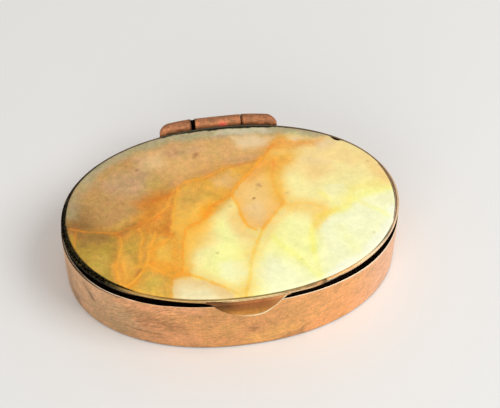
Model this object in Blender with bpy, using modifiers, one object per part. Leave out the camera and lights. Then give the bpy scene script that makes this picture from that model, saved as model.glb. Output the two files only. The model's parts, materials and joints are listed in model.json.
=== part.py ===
# Oval patch box with a hinged lid that holds a stone panel.
# Units are metres, +Z is up, +X runs along the oval's length and +Y points to the hinge.
# The origin is the centre of the base's underside.

import math

import bmesh
import bpy
from mathutils import Matrix, Vector

MM = 0.001

# Outline and body
BOX_LENGTH = 54.0 * MM
BOX_WIDTH = 35.9 * MM
OVAL_POWER = 2.12
OVAL_POINTS = 80
WALL_HEIGHT = 10.8 * MM
WALL_SHEET = 0.4 * MM
WALL_FOOT_ROUND = 0.3 * MM
WALL_RIM_ROUND = 0.1 * MM
BASE_SHEET = 0.5 * MM

# Clearances between pieces that are joined, and between pieces that move
SEAT_GAP = 0.1 * MM
RUN_GAP = 0.15 * MM
PIN_CLEARANCE = 0.08 * MM

# Hinge
KNUCKLE_RADIUS = 1.05 * MM
KNUCKLE_EDGE = 0.1 * MM
KNUCKLE_END_ROUND = 1.4 * MM
KNUCKLE_TIP_SHARE = 0.4
CENTRE_KNUCKLE_LENGTH = 7.7 * MM
LEFT_KNUCKLE_LENGTH = 5.4 * MM
RIGHT_KNUCKLE_LENGTH = 5.85 * MM
LEFT_KNUCKLE_GAP = 0.7 * MM
RIGHT_KNUCKLE_GAP = 0.15 * MM
HINGE_SHIFT = 0.45 * MM
PIN_RADIUS = 0.45 * MM
PIN_SEAT = 1.8 * MM
BEARER_DROP = 0.3 * MM
BEARER_WIDTH = 1.9 * MM
BEARER_DEPTH = 1.5 * MM
BEARER_EDGE = 0.4 * MM
BEARER_OVERHANG = 0.4 * MM
LEAF_SHEET = 0.3 * MM
LEAF_REACH = 1.6 * MM
LEAF_MARGIN = 0.1 * MM

# Lid
LID_END_INSET = 0.15 * MM
LID_SIDE_INSET = 0.33 * MM
LID_SHEET = 0.3 * MM
LID_SHEET_INSET = 0.45 * MM
BEZEL_HEIGHT = 0.55 * MM
BEZEL_SHEET = 0.3 * MM
BEZEL_ROUND = 0.08 * MM
LEDGE_SHEET = 0.2 * MM
LEDGE_WIDTH = 1.6 * MM
STONE_EDGE = 0.37 * MM
STONE_BEVEL_WIDTH = 0.45 * MM
STONE_BEVEL_RISE = 0.17 * MM
STONE_DOME = 0.5 * MM
STONE_TOP_SHARE = 0.2
STONE_RINGS = 5

# Mirror under the lid
MIRROR_MARGIN = 0.35 * MM
MIRROR_FRAME_SHEET = 0.3 * MM
MIRROR_LIP_WIDTH = 1.0 * MM
MIRROR_LIP_SHEET = 0.25 * MM
MIRROR_GLASS = 0.8 * MM

# Thumb lip
LIP_SHEET = 0.35 * MM
LIP_HALF_WIDTH = 5.6 * MM
LIP_SHIFT = 0.35 * MM
LIP_DEPTH = 2.0 * MM
LIP_TAB = 0.25 * MM
LIP_FLARE = 0.8 * MM
LIP_FLARE_CURVE = 1.5
LIP_FULLNESS = 2.6
LIP_SHOULDER = 0.75
LIP_COLUMNS = 24
LIP_ROWS = 6

# Places that follow from the sizes
BOX_HALF = Vector((BOX_LENGTH / 2, BOX_WIDTH / 2))
LID_HALF = BOX_HALF - Vector((LID_END_INSET, LID_SIDE_INSET))
LEAF_BOTTOM = WALL_HEIGHT + RUN_GAP
PLATE_BOTTOM = LEAF_BOTTOM + LEAF_SHEET + SEAT_GAP
BEZEL_BOTTOM = PLATE_BOTTOM + LID_SHEET + SEAT_GAP
BEZEL_TOP = BEZEL_BOTTOM + BEZEL_HEIGHT
STONE_BOTTOM = BEZEL_BOTTOM + LEDGE_SHEET + SEAT_GAP
BEARER_TOP = WALL_HEIGHT - BEARER_DROP
HINGE_Y = BOX_HALF.y + RUN_GAP + KNUCKLE_RADIUS
HINGE_Z = BEARER_TOP + SEAT_GAP + KNUCKLE_RADIUS
CENTRE_LEFT = HINGE_SHIFT - CENTRE_KNUCKLE_LENGTH / 2
CENTRE_RIGHT = HINGE_SHIFT + CENTRE_KNUCKLE_LENGTH / 2
LEFT_INNER = CENTRE_LEFT - LEFT_KNUCKLE_GAP
RIGHT_INNER = CENTRE_RIGHT + RIGHT_KNUCKLE_GAP
LEFT_OUTER = LEFT_INNER - LEFT_KNUCKLE_LENGTH
RIGHT_OUTER = RIGHT_INNER + RIGHT_KNUCKLE_LENGTH
MIRROR_INSET = LID_SHEET_INSET + LEAF_REACH + MIRROR_MARGIN
MIRROR_FRAME_TOP = PLATE_BOTTOM - SEAT_GAP
MIRROR_FRAME_HEIGHT = MIRROR_LIP_SHEET + SEAT_GAP + MIRROR_GLASS
BORE_RADIUS = PIN_RADIUS + PIN_CLEARANCE

# Mesh detail
FILLET_LIMIT = 0.75
SMOOTH_ANGLE = math.radians(35)
CHAMFER_ANGLE = math.radians(60)
ROUND_SIDES = 20
TUBE_RESOLUTION = (ROUND_SIDES - 4) // 2
PATH_STEPS = 4
WELD_DISTANCE = 0.001 * MM
CUT_MARGIN = 1.0 * MM


def clear_scene():
    """Remove the objects of the scene that the script starts in."""
    for thing in list(bpy.data.objects):
        bpy.data.objects.remove(thing, do_unlink=True)


def new_collection(name):
    """Make a collection in the scene."""
    collection = bpy.data.collections.new(name)
    bpy.context.scene.collection.children.link(collection)
    return collection


def new_material(name, colour, roughness, metallic):
    """Make a Principled material of one colour."""
    material = bpy.data.materials.new(name)
    material.use_nodes = True
    shader = material.node_tree.nodes["Principled BSDF"]
    shader.inputs["Base Color"].default_value = (*colour, 1.0)
    shader.inputs["Roughness"].default_value = roughness
    shader.inputs["Metallic"].default_value = metallic
    return material


def add_object(name, data, collection, material=None):
    """Put a mesh or a curve in the scene as a named object."""
    thing = bpy.data.objects.new(name, data)
    collection.objects.link(thing)
    if material:
        data.materials.append(material)
    return thing


def add_mesh(name, bm, collection, material=None):
    """Turn a bmesh into a named object with smooth shading."""
    mesh = bpy.data.meshes.new(name)
    bm.to_mesh(mesh)
    bm.free()
    mesh.shade_smooth()
    mesh.set_sharp_from_angle(angle=SMOOTH_ANGLE)
    return add_object(name, mesh, collection, material)


def place(thing, x, y, z, parent=None):
    """Set an object's place in the world, under its parent where it has one."""
    thing.location = Vector((x, y, z))
    if parent:
        thing.location -= parent.location
        thing.parent = parent


def cut(thing, cutter, operation="DIFFERENCE"):
    """Cut an object with another through an exact Boolean."""
    boolean = thing.modifiers.new(operation.lower(), "BOOLEAN")
    boolean.operation = operation
    boolean.object = cutter
    boolean.solver = "EXACT"


def hide_cutter(cutter):
    """Show a cutter as wire only."""
    cutter.hide_render = True
    cutter.display_type = "WIRE"


def oval_point(turn, half):
    """Give the point of an oval of these half sizes at a share of a full turn."""
    angle = 2 * math.pi * turn
    cosine = math.cos(angle)
    sine = math.sin(angle)
    x = half.x * math.copysign(abs(cosine) ** (2 / OVAL_POWER), cosine)
    y = half.y * math.copysign(abs(sine) ** (2 / OVAL_POWER), sine)
    return x, y


def oval_y(x, half):
    """Give the distance of the oval's long side from its middle at one x."""
    share = min(abs(x) / half.x, 1.0)
    return half.y * (1 - share ** OVAL_POWER) ** (1 / OVAL_POWER)


def shape_loop(verts, turns, half, inset, height):
    """Put a loop's points on the oval, moved inwards by its inset."""
    inner = half - Vector((inset, inset))
    for vert in verts:
        vert.co = (*oval_point(vert[turns], inner), height)


def oval_solid(name, half, profile, collection, material=None, ring=False):
    """Extrude an oval loop along a profile into a plate, or into a ring that closes on itself."""
    bm = bmesh.new()
    turns = bm.verts.layers.float.new("turn")
    verts = bmesh.ops.create_circle(bm, segments=OVAL_POINTS, radius=half.x)["verts"]
    for index, vert in enumerate(verts):
        vert[turns] = index / OVAL_POINTS
    shape_loop(verts, turns, half, *profile[0])
    edges = list(bm.edges)
    steps = profile[1:]
    if ring:
        steps = steps + profile[:1]
    else:
        bmesh.ops.edgeloop_fill(bm, edges=edges)
    for inset, height in steps:
        fresh = bmesh.ops.extrude_edge_only(bm, edges=edges)["geom"]
        verts = [item for item in fresh if isinstance(item, bmesh.types.BMVert)]
        edges = [item for item in fresh if isinstance(item, bmesh.types.BMEdge)]
        shape_loop(verts, turns, half, inset, height)
    if ring:
        bmesh.ops.remove_doubles(bm, verts=bm.verts, dist=WELD_DISTANCE)
    else:
        bmesh.ops.edgeloop_fill(bm, edges=edges)
    bmesh.ops.recalc_face_normals(bm, faces=bm.faces)
    return add_mesh(name, bm, collection, material)


def oval_plate(name, half, inset, thickness, collection, material=None):
    """Make a flat oval sheet."""
    profile = [(inset, 0.0), (inset, thickness)]
    return oval_solid(name, half, profile, collection, material)


def rod(name, radius, length, collection, material=None):
    """Make a round rod along X that starts at its own origin."""
    bm = bmesh.new()
    along_x = Matrix.Translation((length / 2, 0, 0)) @ Matrix.Rotation(math.pi / 2, 4, "Y")
    bmesh.ops.create_cone(
        bm,
        cap_ends=True,
        segments=ROUND_SIDES,
        radius1=radius,
        radius2=radius,
        depth=length,
        matrix=along_x,
    )
    return add_mesh(name, bm, collection, material)


def block(name, low, high, collection, material=None):
    """Make a box between two corners, with its origin at its low corner."""
    bm = bmesh.new()
    size = high - low
    verts = bmesh.ops.create_cube(bm, size=1.0)["verts"]
    for vert in verts:
        vert.co = Vector(((share + 0.5) * length for share, length in zip(vert.co, size)))
    return add_mesh(name, bm, collection, material)


def chamfer(thing, width):
    """Bevel an object's sharp edges."""
    bevel = thing.modifiers.new("chamfer", "BEVEL")
    bevel.width = width
    bevel.segments = 1
    bevel.limit_method = "ANGLE"
    bevel.angle_limit = CHAMFER_ANGLE


def side_wall(parts, metal):
    """The oval band, rounded under at the foot and eased at the rim."""
    foot_round = min(WALL_FOOT_ROUND, WALL_SHEET * FILLET_LIMIT)
    rim_round = min(WALL_RIM_ROUND, WALL_SHEET * FILLET_LIMIT)
    profile = [
        (foot_round, 0.0),
        (0.0, foot_round),
        (0.0, WALL_HEIGHT - rim_round),
        (rim_round, WALL_HEIGHT),
        (WALL_SHEET, WALL_HEIGHT),
        (WALL_SHEET, 0.0),
    ]
    return oval_solid("side_wall", BOX_HALF, profile, parts, metal, ring=True)


def base_plate(parts, metal):
    """The floor, let in between the foot of the band."""
    inset = WALL_SHEET + SEAT_GAP
    return oval_plate("base_plate", BOX_HALF, inset, BASE_SHEET, parts, metal)


def hinge_bearer(parts, cutters, metal):
    """The strip along the back of the band that carries the outer knuckles."""
    near = -SEAT_GAP
    far = near - BEARER_WIDTH
    profile = [
        (near, 0.0),
        (near, BEARER_DEPTH),
        (far, BEARER_DEPTH),
        (far, BEARER_DEPTH - BEARER_EDGE),
        (near - BEARER_EDGE, 0.0),
    ]
    bearer = oval_solid("hinge_bearer", BOX_HALF, profile, parts, metal, ring=True)
    place(bearer, 0, 0, BEARER_TOP - BEARER_DEPTH)
    low = Vector((LEFT_OUTER - BEARER_OVERHANG, 0, BEARER_TOP - BEARER_DEPTH - CUT_MARGIN))
    high = Vector((RIGHT_OUTER + BEARER_OVERHANG, BOX_WIDTH, BEARER_TOP + CUT_MARGIN))
    length_box = block("bearer_length", low, high, cutters)
    place(length_box, *low)
    hide_cutter(length_box)
    cut(bearer, length_box, "INTERSECT")
    return bearer


def knuckle_path(inner, outer):
    """Give an outer knuckle's points and radius shares: it follows the band's curve."""
    direction = math.copysign(1.0, outer - inner)
    length = abs(outer - inner)
    rounding = min(KNUCKLE_END_ROUND, length / 2)
    plain = length - rounding - KNUCKLE_EDGE
    distances = [0.0, KNUCKLE_EDGE]
    shares = [step / PATH_STEPS for step in range(1, PATH_STEPS + 1)]
    distances += [KNUCKLE_EDGE + plain * share for share in shares]
    distances += [length - rounding * math.cos(math.pi / 2 * share) for share in shares]
    points = []
    for distance in distances:
        x = inner + direction * distance
        bend = oval_y(inner, BOX_HALF) - oval_y(x, BOX_HALF) if distance > KNUCKLE_EDGE else 0.0
        into_end = max(0.0, (distance - length + rounding) / rounding)
        share = math.sqrt(1 - (1 - KNUCKLE_TIP_SHARE ** 2) * into_end ** 2)
        if distance == 0.0:
            share -= KNUCKLE_EDGE / KNUCKLE_RADIUS
        points.append((x - inner, -bend, share))
    return points


def outer_knuckle(name, inner, outer, parts, cutters, metal):
    """A knuckle of the body: a bent tube with a rounded end and a blind bore for the pin."""
    curve = bpy.data.curves.new(name + "_path", "CURVE")
    curve.dimensions = "3D"
    curve.bevel_depth = KNUCKLE_RADIUS
    curve.bevel_resolution = TUBE_RESOLUTION
    curve.use_fill_caps = True
    points = knuckle_path(inner, outer)
    spline = curve.splines.new("POLY")
    spline.points.add(len(points) - 1)
    for point, (x, y, share) in zip(spline.points, points):
        point.co = (x, y, 0.0, 1.0)
        point.radius = share
    path = add_object(name + "_path", curve, cutters)
    place(path, inner, HINGE_Y, HINGE_Z)
    knuckle = mesh_from_curve(name, path, parts, metal)
    direction = math.copysign(1.0, outer - inner)
    open_end = inner - direction * CUT_MARGIN
    blind_end = inner + direction * (PIN_SEAT + SEAT_GAP)
    bore = rod(name + "_bore", BORE_RADIUS, abs(blind_end - open_end), cutters)
    place(bore, min(open_end, blind_end), HINGE_Y, HINGE_Z)
    hide_cutter(bore)
    cut(knuckle, bore)
    return knuckle


def mesh_from_curve(name, path, collection, material):
    """Turn a curve object into a mesh object in the same place, and remove the curve."""
    bpy.context.view_layer.update()
    evaluated = path.evaluated_get(bpy.context.evaluated_depsgraph_get())
    mesh = bpy.data.meshes.new_from_object(evaluated)
    bm = bmesh.new()
    bm.from_mesh(mesh)
    bmesh.ops.remove_doubles(bm, verts=bm.verts, dist=WELD_DISTANCE)
    bmesh.ops.recalc_face_normals(bm, faces=bm.faces)
    bpy.data.meshes.remove(mesh)
    thing = add_mesh(name, bm, collection, material)
    thing.matrix_world = path.matrix_world
    bpy.data.objects.remove(path, do_unlink=True)
    return thing


def centre_knuckle(parts, cutters, metal, pivot):
    """The knuckle of the lid, bored through for the pin."""
    knuckle = rod("hinge_knuckle_centre", KNUCKLE_RADIUS, CENTRE_KNUCKLE_LENGTH, parts, metal)
    place(knuckle, CENTRE_LEFT, HINGE_Y, HINGE_Z, pivot)
    chamfer(knuckle, KNUCKLE_EDGE)
    length = CENTRE_KNUCKLE_LENGTH + 2 * CUT_MARGIN
    bore = rod("centre_bore", BORE_RADIUS, length, cutters)
    place(bore, CENTRE_LEFT - CUT_MARGIN, HINGE_Y, HINGE_Z, pivot)
    hide_cutter(bore)
    cut(knuckle, bore)
    return knuckle


def hinge_pin(parts, metal):
    """The wire that the lid turns on, held in the two outer knuckles."""
    start = LEFT_INNER - PIN_SEAT
    pin = rod("hinge_pin", PIN_RADIUS, RIGHT_INNER + PIN_SEAT - start, parts, metal)
    place(pin, start, HINGE_Y, HINGE_Z)
    return pin


def lid_hinge_leaf(parts, cutters, metal, pivot):
    """The strip under the lid that reaches over the back rim and is coped to the knuckle."""
    back_edge = LID_HALF.y - LID_SHEET_INSET
    low = Vector((CENTRE_LEFT + LEAF_MARGIN, back_edge - LEAF_REACH, LEAF_BOTTOM))
    high = Vector((CENTRE_RIGHT - LEAF_MARGIN, HINGE_Y - KNUCKLE_RADIUS / 2, LEAF_BOTTOM + LEAF_SHEET))
    leaf = block("lid_hinge_leaf", low, high, parts, metal)
    place(leaf, *low, pivot)
    cope_length = CENTRE_KNUCKLE_LENGTH + 2 * CUT_MARGIN
    cope = rod("leaf_cope", KNUCKLE_RADIUS + SEAT_GAP, cope_length, cutters)
    place(cope, CENTRE_LEFT - CUT_MARGIN, HINGE_Y, HINGE_Z, pivot)
    hide_cutter(cope)
    cut(leaf, cope)
    return leaf


def lid_bezel(parts, metal, pivot):
    """The hoop round the stone, with the ledge that the stone lies on."""
    ledge_inset = BEZEL_SHEET + LEDGE_WIDTH
    profile = [
        (0.0, 0.0),
        (0.0, BEZEL_HEIGHT - BEZEL_ROUND),
        (BEZEL_ROUND, BEZEL_HEIGHT),
        (BEZEL_SHEET, BEZEL_HEIGHT),
        (BEZEL_SHEET, LEDGE_SHEET),
        (ledge_inset, LEDGE_SHEET),
        (ledge_inset, 0.0),
    ]
    bezel = oval_solid("lid_bezel", LID_HALF, profile, parts, metal, ring=True)
    place(bezel, 0, 0, BEZEL_BOTTOM, pivot)
    return bezel


def stone_panel(parts, stone, pivot):
    """The polished panel: an upright edge, a bevel and a low dome."""
    edge_inset = BEZEL_SHEET + SEAT_GAP
    dome_inset = edge_inset + STONE_BEVEL_WIDTH
    dome_rise = STONE_DOME - STONE_BEVEL_RISE
    dome_span = (LID_HALF.y - dome_inset) * (1 - STONE_TOP_SHARE)
    profile = [(edge_inset, 0.0), (edge_inset, STONE_EDGE)]
    for ring in range(STONE_RINGS):
        share = ring / (STONE_RINGS - 1)
        rise = STONE_BEVEL_RISE + dome_rise * (1 - (1 - share) ** 2)
        profile.append((dome_inset + dome_span * share, STONE_EDGE + rise))
    panel = oval_solid("stone_panel", LID_HALF, profile, parts, stone)
    place(panel, 0, 0, STONE_BOTTOM, pivot)
    return panel


def cement_bed(parts, cement, pivot):
    """The layer that the stone is set in, inside the ledge."""
    inset = BEZEL_SHEET + LEDGE_WIDTH + SEAT_GAP
    bed = oval_plate("cement_bed", LID_HALF, inset, LEDGE_SHEET, parts, cement)
    place(bed, 0, 0, BEZEL_BOTTOM, pivot)
    return bed


def lid_plate(parts, metal, pivot):
    """The sheet that closes the lid from below."""
    plate = oval_plate("lid_plate", LID_HALF, LID_SHEET_INSET, LID_SHEET, parts, metal)
    place(plate, 0, 0, PLATE_BOTTOM, pivot)
    return plate


def mirror_frame(parts, metal, pivot):
    """The thin frame under the lid plate, with a lip below the glass."""
    outer = MIRROR_INSET
    inner = outer + MIRROR_FRAME_SHEET
    lip = inner + MIRROR_LIP_WIDTH
    profile = [
        (outer, 0.0),
        (outer, MIRROR_FRAME_HEIGHT),
        (inner, MIRROR_FRAME_HEIGHT),
        (inner, MIRROR_LIP_SHEET),
        (lip, MIRROR_LIP_SHEET),
        (lip, 0.0),
    ]
    frame = oval_solid("mirror_frame", LID_HALF, profile, parts, metal, ring=True)
    place(frame, 0, 0, MIRROR_FRAME_TOP - MIRROR_FRAME_HEIGHT, pivot)
    return frame


def mirror_glass(parts, mirror, pivot):
    """The mirror, lying on the frame's lip."""
    inset = MIRROR_INSET + MIRROR_FRAME_SHEET + SEAT_GAP
    glass = oval_plate("mirror_glass", LID_HALF, inset, MIRROR_GLASS, parts, mirror)
    place(glass, 0, 0, MIRROR_FRAME_TOP - MIRROR_GLASS, pivot)
    return glass


def lip_point(across, down):
    """Give a point of the lip's inner face: across runs from -1 to 1, down from 0 to 1."""
    x = LIP_SHIFT + LIP_HALF_WIDTH * across
    start = BEZEL_BOTTOM + LIP_TAB
    depth = LIP_DEPTH * (1 - min(abs(across), 1.0) ** LIP_FULLNESS) ** LIP_SHOULDER
    top = BEZEL_TOP - SEAT_GAP
    z = top - (top - start + depth) * down
    tip = start - LIP_DEPTH
    standoff = LID_SIDE_INSET + RUN_GAP - SEAT_GAP
    towards_rim = min(max((start - z) / (start - WALL_HEIGHT), 0.0), 1.0)
    below_rim = max(WALL_HEIGHT - z, 0.0) / (WALL_HEIGHT - tip)
    outwards = SEAT_GAP + standoff * towards_rim + LIP_FLARE * below_rim ** LIP_FLARE_CURVE
    return x, -oval_y(x, LID_HALF) - outwards, z


def thumb_lip(parts, metal, pivot):
    """The lip on the front of the bezel: a flared sheet with an arched lower edge."""
    bm = bmesh.new()
    bmesh.ops.create_grid(bm, x_segments=LIP_COLUMNS, y_segments=LIP_ROWS, size=1.0)
    for vert in bm.verts:
        vert.co = lip_point(vert.co.x, (1 - vert.co.y) / 2)
    lip = add_mesh("thumb_lip", bm, parts, metal)
    place(lip, 0, 0, 0, pivot)
    shell = lip.modifiers.new("sheet", "SOLIDIFY")
    shell.thickness = LIP_SHEET
    shell.offset = 1.0
    return lip


def build():
    """Build the box: the fixed body and the lid under its pivot."""
    clear_scene()
    parts = new_collection("patch_box")
    cutters = new_collection("cutters")
    copper = new_material("copper_gilt", (0.72, 0.42, 0.24), 0.35, 1.0)
    edge_metal = new_material("bezel_gilt", (0.74, 0.52, 0.3), 0.3, 1.0)
    stone = new_material("veined_stone", (0.82, 0.68, 0.36), 0.15, 0.0)
    cement = new_material("cement", (0.35, 0.3, 0.24), 0.9, 0.0)
    mirror = new_material("mirror", (0.85, 0.86, 0.86), 0.03, 1.0)
    pivot = add_object("lid_pivot", None, parts)
    place(pivot, 0, HINGE_Y, HINGE_Z)
    side_wall(parts, copper)
    base_plate(parts, copper)
    hinge_bearer(parts, cutters, copper)
    outer_knuckle("hinge_knuckle_left", LEFT_INNER, LEFT_OUTER, parts, cutters, copper)
    outer_knuckle("hinge_knuckle_right", RIGHT_INNER, RIGHT_OUTER, parts, cutters, copper)
    hinge_pin(parts, copper)
    lid_bezel(parts, edge_metal, pivot)
    stone_panel(parts, stone, pivot)
    cement_bed(parts, cement, pivot)
    lid_plate(parts, copper, pivot)
    mirror_frame(parts, edge_metal, pivot)
    mirror_glass(parts, mirror, pivot)
    thumb_lip(parts, copper, pivot)
    lid_hinge_leaf(parts, cutters, copper, pivot)
    centre_knuckle(parts, cutters, copper, pivot)
    bpy.context.view_layer.update()


build()
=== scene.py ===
# Oval patch box with a veined stone lid: the looks of every surface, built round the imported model.
# Units are metres, +Z is up, +X runs along the oval's length and +Y points to the hinge.

import json
import math

import bmesh
import bpy
import numpy as np
from mathutils import Matrix, Vector, noise


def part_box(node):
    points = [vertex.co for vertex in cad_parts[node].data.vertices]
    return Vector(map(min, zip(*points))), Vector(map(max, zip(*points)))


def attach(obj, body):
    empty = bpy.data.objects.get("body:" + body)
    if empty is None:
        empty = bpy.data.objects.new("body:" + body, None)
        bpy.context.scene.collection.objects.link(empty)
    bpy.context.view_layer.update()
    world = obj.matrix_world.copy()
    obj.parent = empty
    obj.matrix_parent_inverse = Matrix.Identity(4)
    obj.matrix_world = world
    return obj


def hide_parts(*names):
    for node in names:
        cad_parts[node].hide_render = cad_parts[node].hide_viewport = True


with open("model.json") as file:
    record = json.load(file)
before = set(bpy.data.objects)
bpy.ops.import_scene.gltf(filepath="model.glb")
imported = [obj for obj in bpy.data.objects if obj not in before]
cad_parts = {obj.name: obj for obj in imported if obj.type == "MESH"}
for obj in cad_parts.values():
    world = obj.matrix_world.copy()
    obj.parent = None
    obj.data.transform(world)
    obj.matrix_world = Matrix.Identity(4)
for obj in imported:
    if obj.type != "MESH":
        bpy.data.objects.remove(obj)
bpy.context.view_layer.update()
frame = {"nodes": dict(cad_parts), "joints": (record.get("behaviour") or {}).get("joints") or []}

MM = 0.001

# Camera, as in the photograph: angles round the box, distances in metres, lens and sensor in millimetres
CAMERA_AZIMUTH = math.radians(-9.184)
CAMERA_ELEVATION = math.radians(51.209)
CAMERA_ROLL = math.radians(0.781)
CAMERA_DISTANCE = 215.9 * MM
CAMERA_RIGHT = 3.154 * MM
CAMERA_UP = 8.41 * MM
CAMERA_LENS = 93.6
CAMERA_SENSOR = 36.0

# Shapes shared with the solids
OVAL_POWER = 2.12
SEAT_GAP = 0.1 * MM
PIN_CLEARANCE = 0.08 * MM
# Where the rows of a plate's faces start and end, as shares of its half width
PLATE_MIDDLE = 0.995
PLATE_REACH = 0.98

# Fineness of the meshes: points, rings, rows and columns, and the angle from which an edge is sharp
AROUND = 480
STONE_RINGS = 120
WALL_ROWS = 37
LIP_COLUMNS = 96
LIP_ROWS = 36
KNUCKLE_SIDES = 56
BEARER_COLUMNS = 72
SMOOTH_ANGLE = math.radians(38)

# Places read from the frame
WALL_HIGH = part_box("side_wall")[1]
BASE_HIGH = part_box("base_plate")[1]
BEZEL_LOW, BEZEL_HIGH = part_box("lid_bezel")
STONE_LOW, STONE_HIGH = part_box("stone_panel")
PLATE_LOW, PLATE_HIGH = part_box("lid_plate")
FRAME_LOW, FRAME_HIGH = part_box("mirror_frame")
GLASS_LOW, GLASS_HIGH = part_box("mirror_glass")
BEARER_LOW, BEARER_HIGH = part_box("hinge_bearer")
PIN_LOW, PIN_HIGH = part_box("hinge_pin")
CENTRE_LOW, CENTRE_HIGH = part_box("hinge_knuckle_centre")
HINGE = Vector(frame["joints"][0]["pos_m"])
WALL_HALF = WALL_HIGH.xy
LID_HALF = BEZEL_HIGH.xy
STONE_HALF = STONE_HIGH.xy
KNUCKLE_RADIUS = CENTRE_HIGH.z - HINGE.z
PIN_RADIUS = PIN_HIGH.z - HINGE.z
BORE_RADIUS = PIN_RADIUS + PIN_CLEARANCE

# Body: its sheet, its rounded edges, how far below its rim the rows lie closer, and its swell
WALL_SHEET = 0.4 * MM
WALL_FOOT_ROUND = 0.34 * MM
WALL_RIM_ROUND = 0.08 * MM
WALL_FINE_DEPTH = 0.66 * MM
WALL_SWELL = 0.05 * MM
# Along the rim, in millimetres: how far down its painted highlight reaches, and how far in the painted shade
# inside the band starts
RIM_BRIGHT = 0.10
RIM_BLACK_FROM = 0.05
# How far the rim rises, in millimetres by x, for the front half and the back half
RIM_FRONT = (
    (-27, -0.08), (-24.6, -0.14), (-23.1, -0.24), (-21.6, -0.30), (-20.2, -0.20), (-18.8, -0.11), (-16, 0.0),
    (-13, 0.10), (-11.5, 0.26), (-9, 0.36), (-7, 0.44), (-5, 0.52), (0, 0.58), (5, 0.50), (6.6, 0.38),
    (8.2, 0.32), (9.8, 0.20), (11.4, 0.10), (13, 0.0), (15, -0.12), (17, -0.24), (20, -0.48), (22, -0.54),
    (24, -0.54), (26, -0.42), (27, -0.2),
)
RIM_BACK = ((-27, -0.08), (-14, 0.02), (0, 0.0), (14, 0.03), (27, -0.2))
# The rim at the near left, by x: how far in its painted highlight runs, and how far down the dark seam
# outside it goes
RIM_LINE = ((-27, 0.26), (-24.6, 0.17), (-23.1, 0.09), (-21.6, 0.03), (-19.5, 0.0), (27, 0.0))
RIM_BAND = ((-27, 0.30), (-24.6, 0.42), (-21.6, 0.36), (-19.5, 0.30), (-17.5, 0.16), (-16, 0.0), (27, 0.0))
RIM_BAND_BACK = ((-27, 0.3), (-24, 0.0), (27, 0.0))

# Tables by x in millimetres that hold one value all along
ALL_NOUGHT = ((-27, 0.0), (27, 0.0))
ALL_ONE = ((-27, 1.0), (27, 1.0))

# Lid: the hoop's sheet and its lap over the stone, its ledge, and the stone's edges
BEZEL_SHEET = 0.3 * MM
BEZEL_LIP = BEZEL_SHEET + 0.04 * MM
BEZEL_ROUND = 0.07 * MM
# How far the hoop's lower edge lifts at the front, in millimetres by x
BEZEL_LIFT_FRONT = (
    (-27, 0.0), (-23, 0.0), (-20, -0.03), (-18.8, 0.0), (-17, 0.12), (-15.9, 0.26), (-13, 0.36),
    (-11.5, 0.34), (-10, 0.28), (-8.6, 0.20), (-7.1, 0.12), (-5.6, 0.08), (6.6, 0.10), (8.2, 0.03),
    (9.8, -0.14), (11.4, -0.16), (12.5, -0.10), (13, -0.02), (14.7, 0.05), (16.4, 0.0), (18.2, -0.02),
    (20, 0.05), (22, 0.12), (24, 0.12), (27, 0.0),
)
LEDGE_SHEET = 0.2 * MM
LEDGE_WIDTH = 1.6 * MM
STONE_EDGE = 0.37 * MM
STONE_BEVEL_WIDTH = 0.45 * MM
STONE_BEVEL_RISE = 0.17 * MM

# Width of the dark band on the stone's edge, by x in millimetres, for the front half and the back half; at
# the near left it is painted shade, where the edge lies in shadow
STONE_EDGE_SHADE_FRONT = (
    (-27, 0.50), (-25, 0.46), (-22, 0.36), (-19.5, 0.2), (-17.5, 0.05), (-15.5, -0.1), (-13, -0.2),
    (8, -0.2), (9.5, -0.06), (12, -0.06), (13, -0.2), (21, -0.2), (23, 0.0), (24.5, 0.0), (25.5, -0.2),
    (27, -0.2),
)
STONE_EDGE_DARK_BACK = (
    (-27, 0.48), (-24, 0.14), (-20, -0.02), (-12, 0.0), (-8, 0.22), (-4, 0.46), (4, 0.56), (8, 0.44),
    (11, 0.16), (20, 0.10), (24, -0.02), (27, -0.2),
)

# Tones of the metal and of the specks on it, and the near-black tone of its soot and of the shade painted in
# its corners and hollows
SPECK_TONE = (0.16, 0.10, 0.045)
SOOT_AND_SHADE_TONE = (0.003, 0.0022, 0.0014)
METAL_TONES = {
    "dust": (0.73, 0.44, 0.225),
    "olive": (0.54, 0.34, 0.155),
    "brown": (0.52, 0.25, 0.105),
    "salmon": (0.82, 0.41, 0.195),
    "ochre": (0.77, 0.40, 0.145),
    "gold": (0.88, 0.50, 0.155),
    "orange": (0.98, 0.49, 0.18),
    "blush": (0.96, 0.57, 0.34),
    "umber": (0.30, 0.16, 0.06),
    "brick": (0.42, 0.165, 0.060),
    "clay": (0.50, 0.205, 0.078),
}
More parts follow.
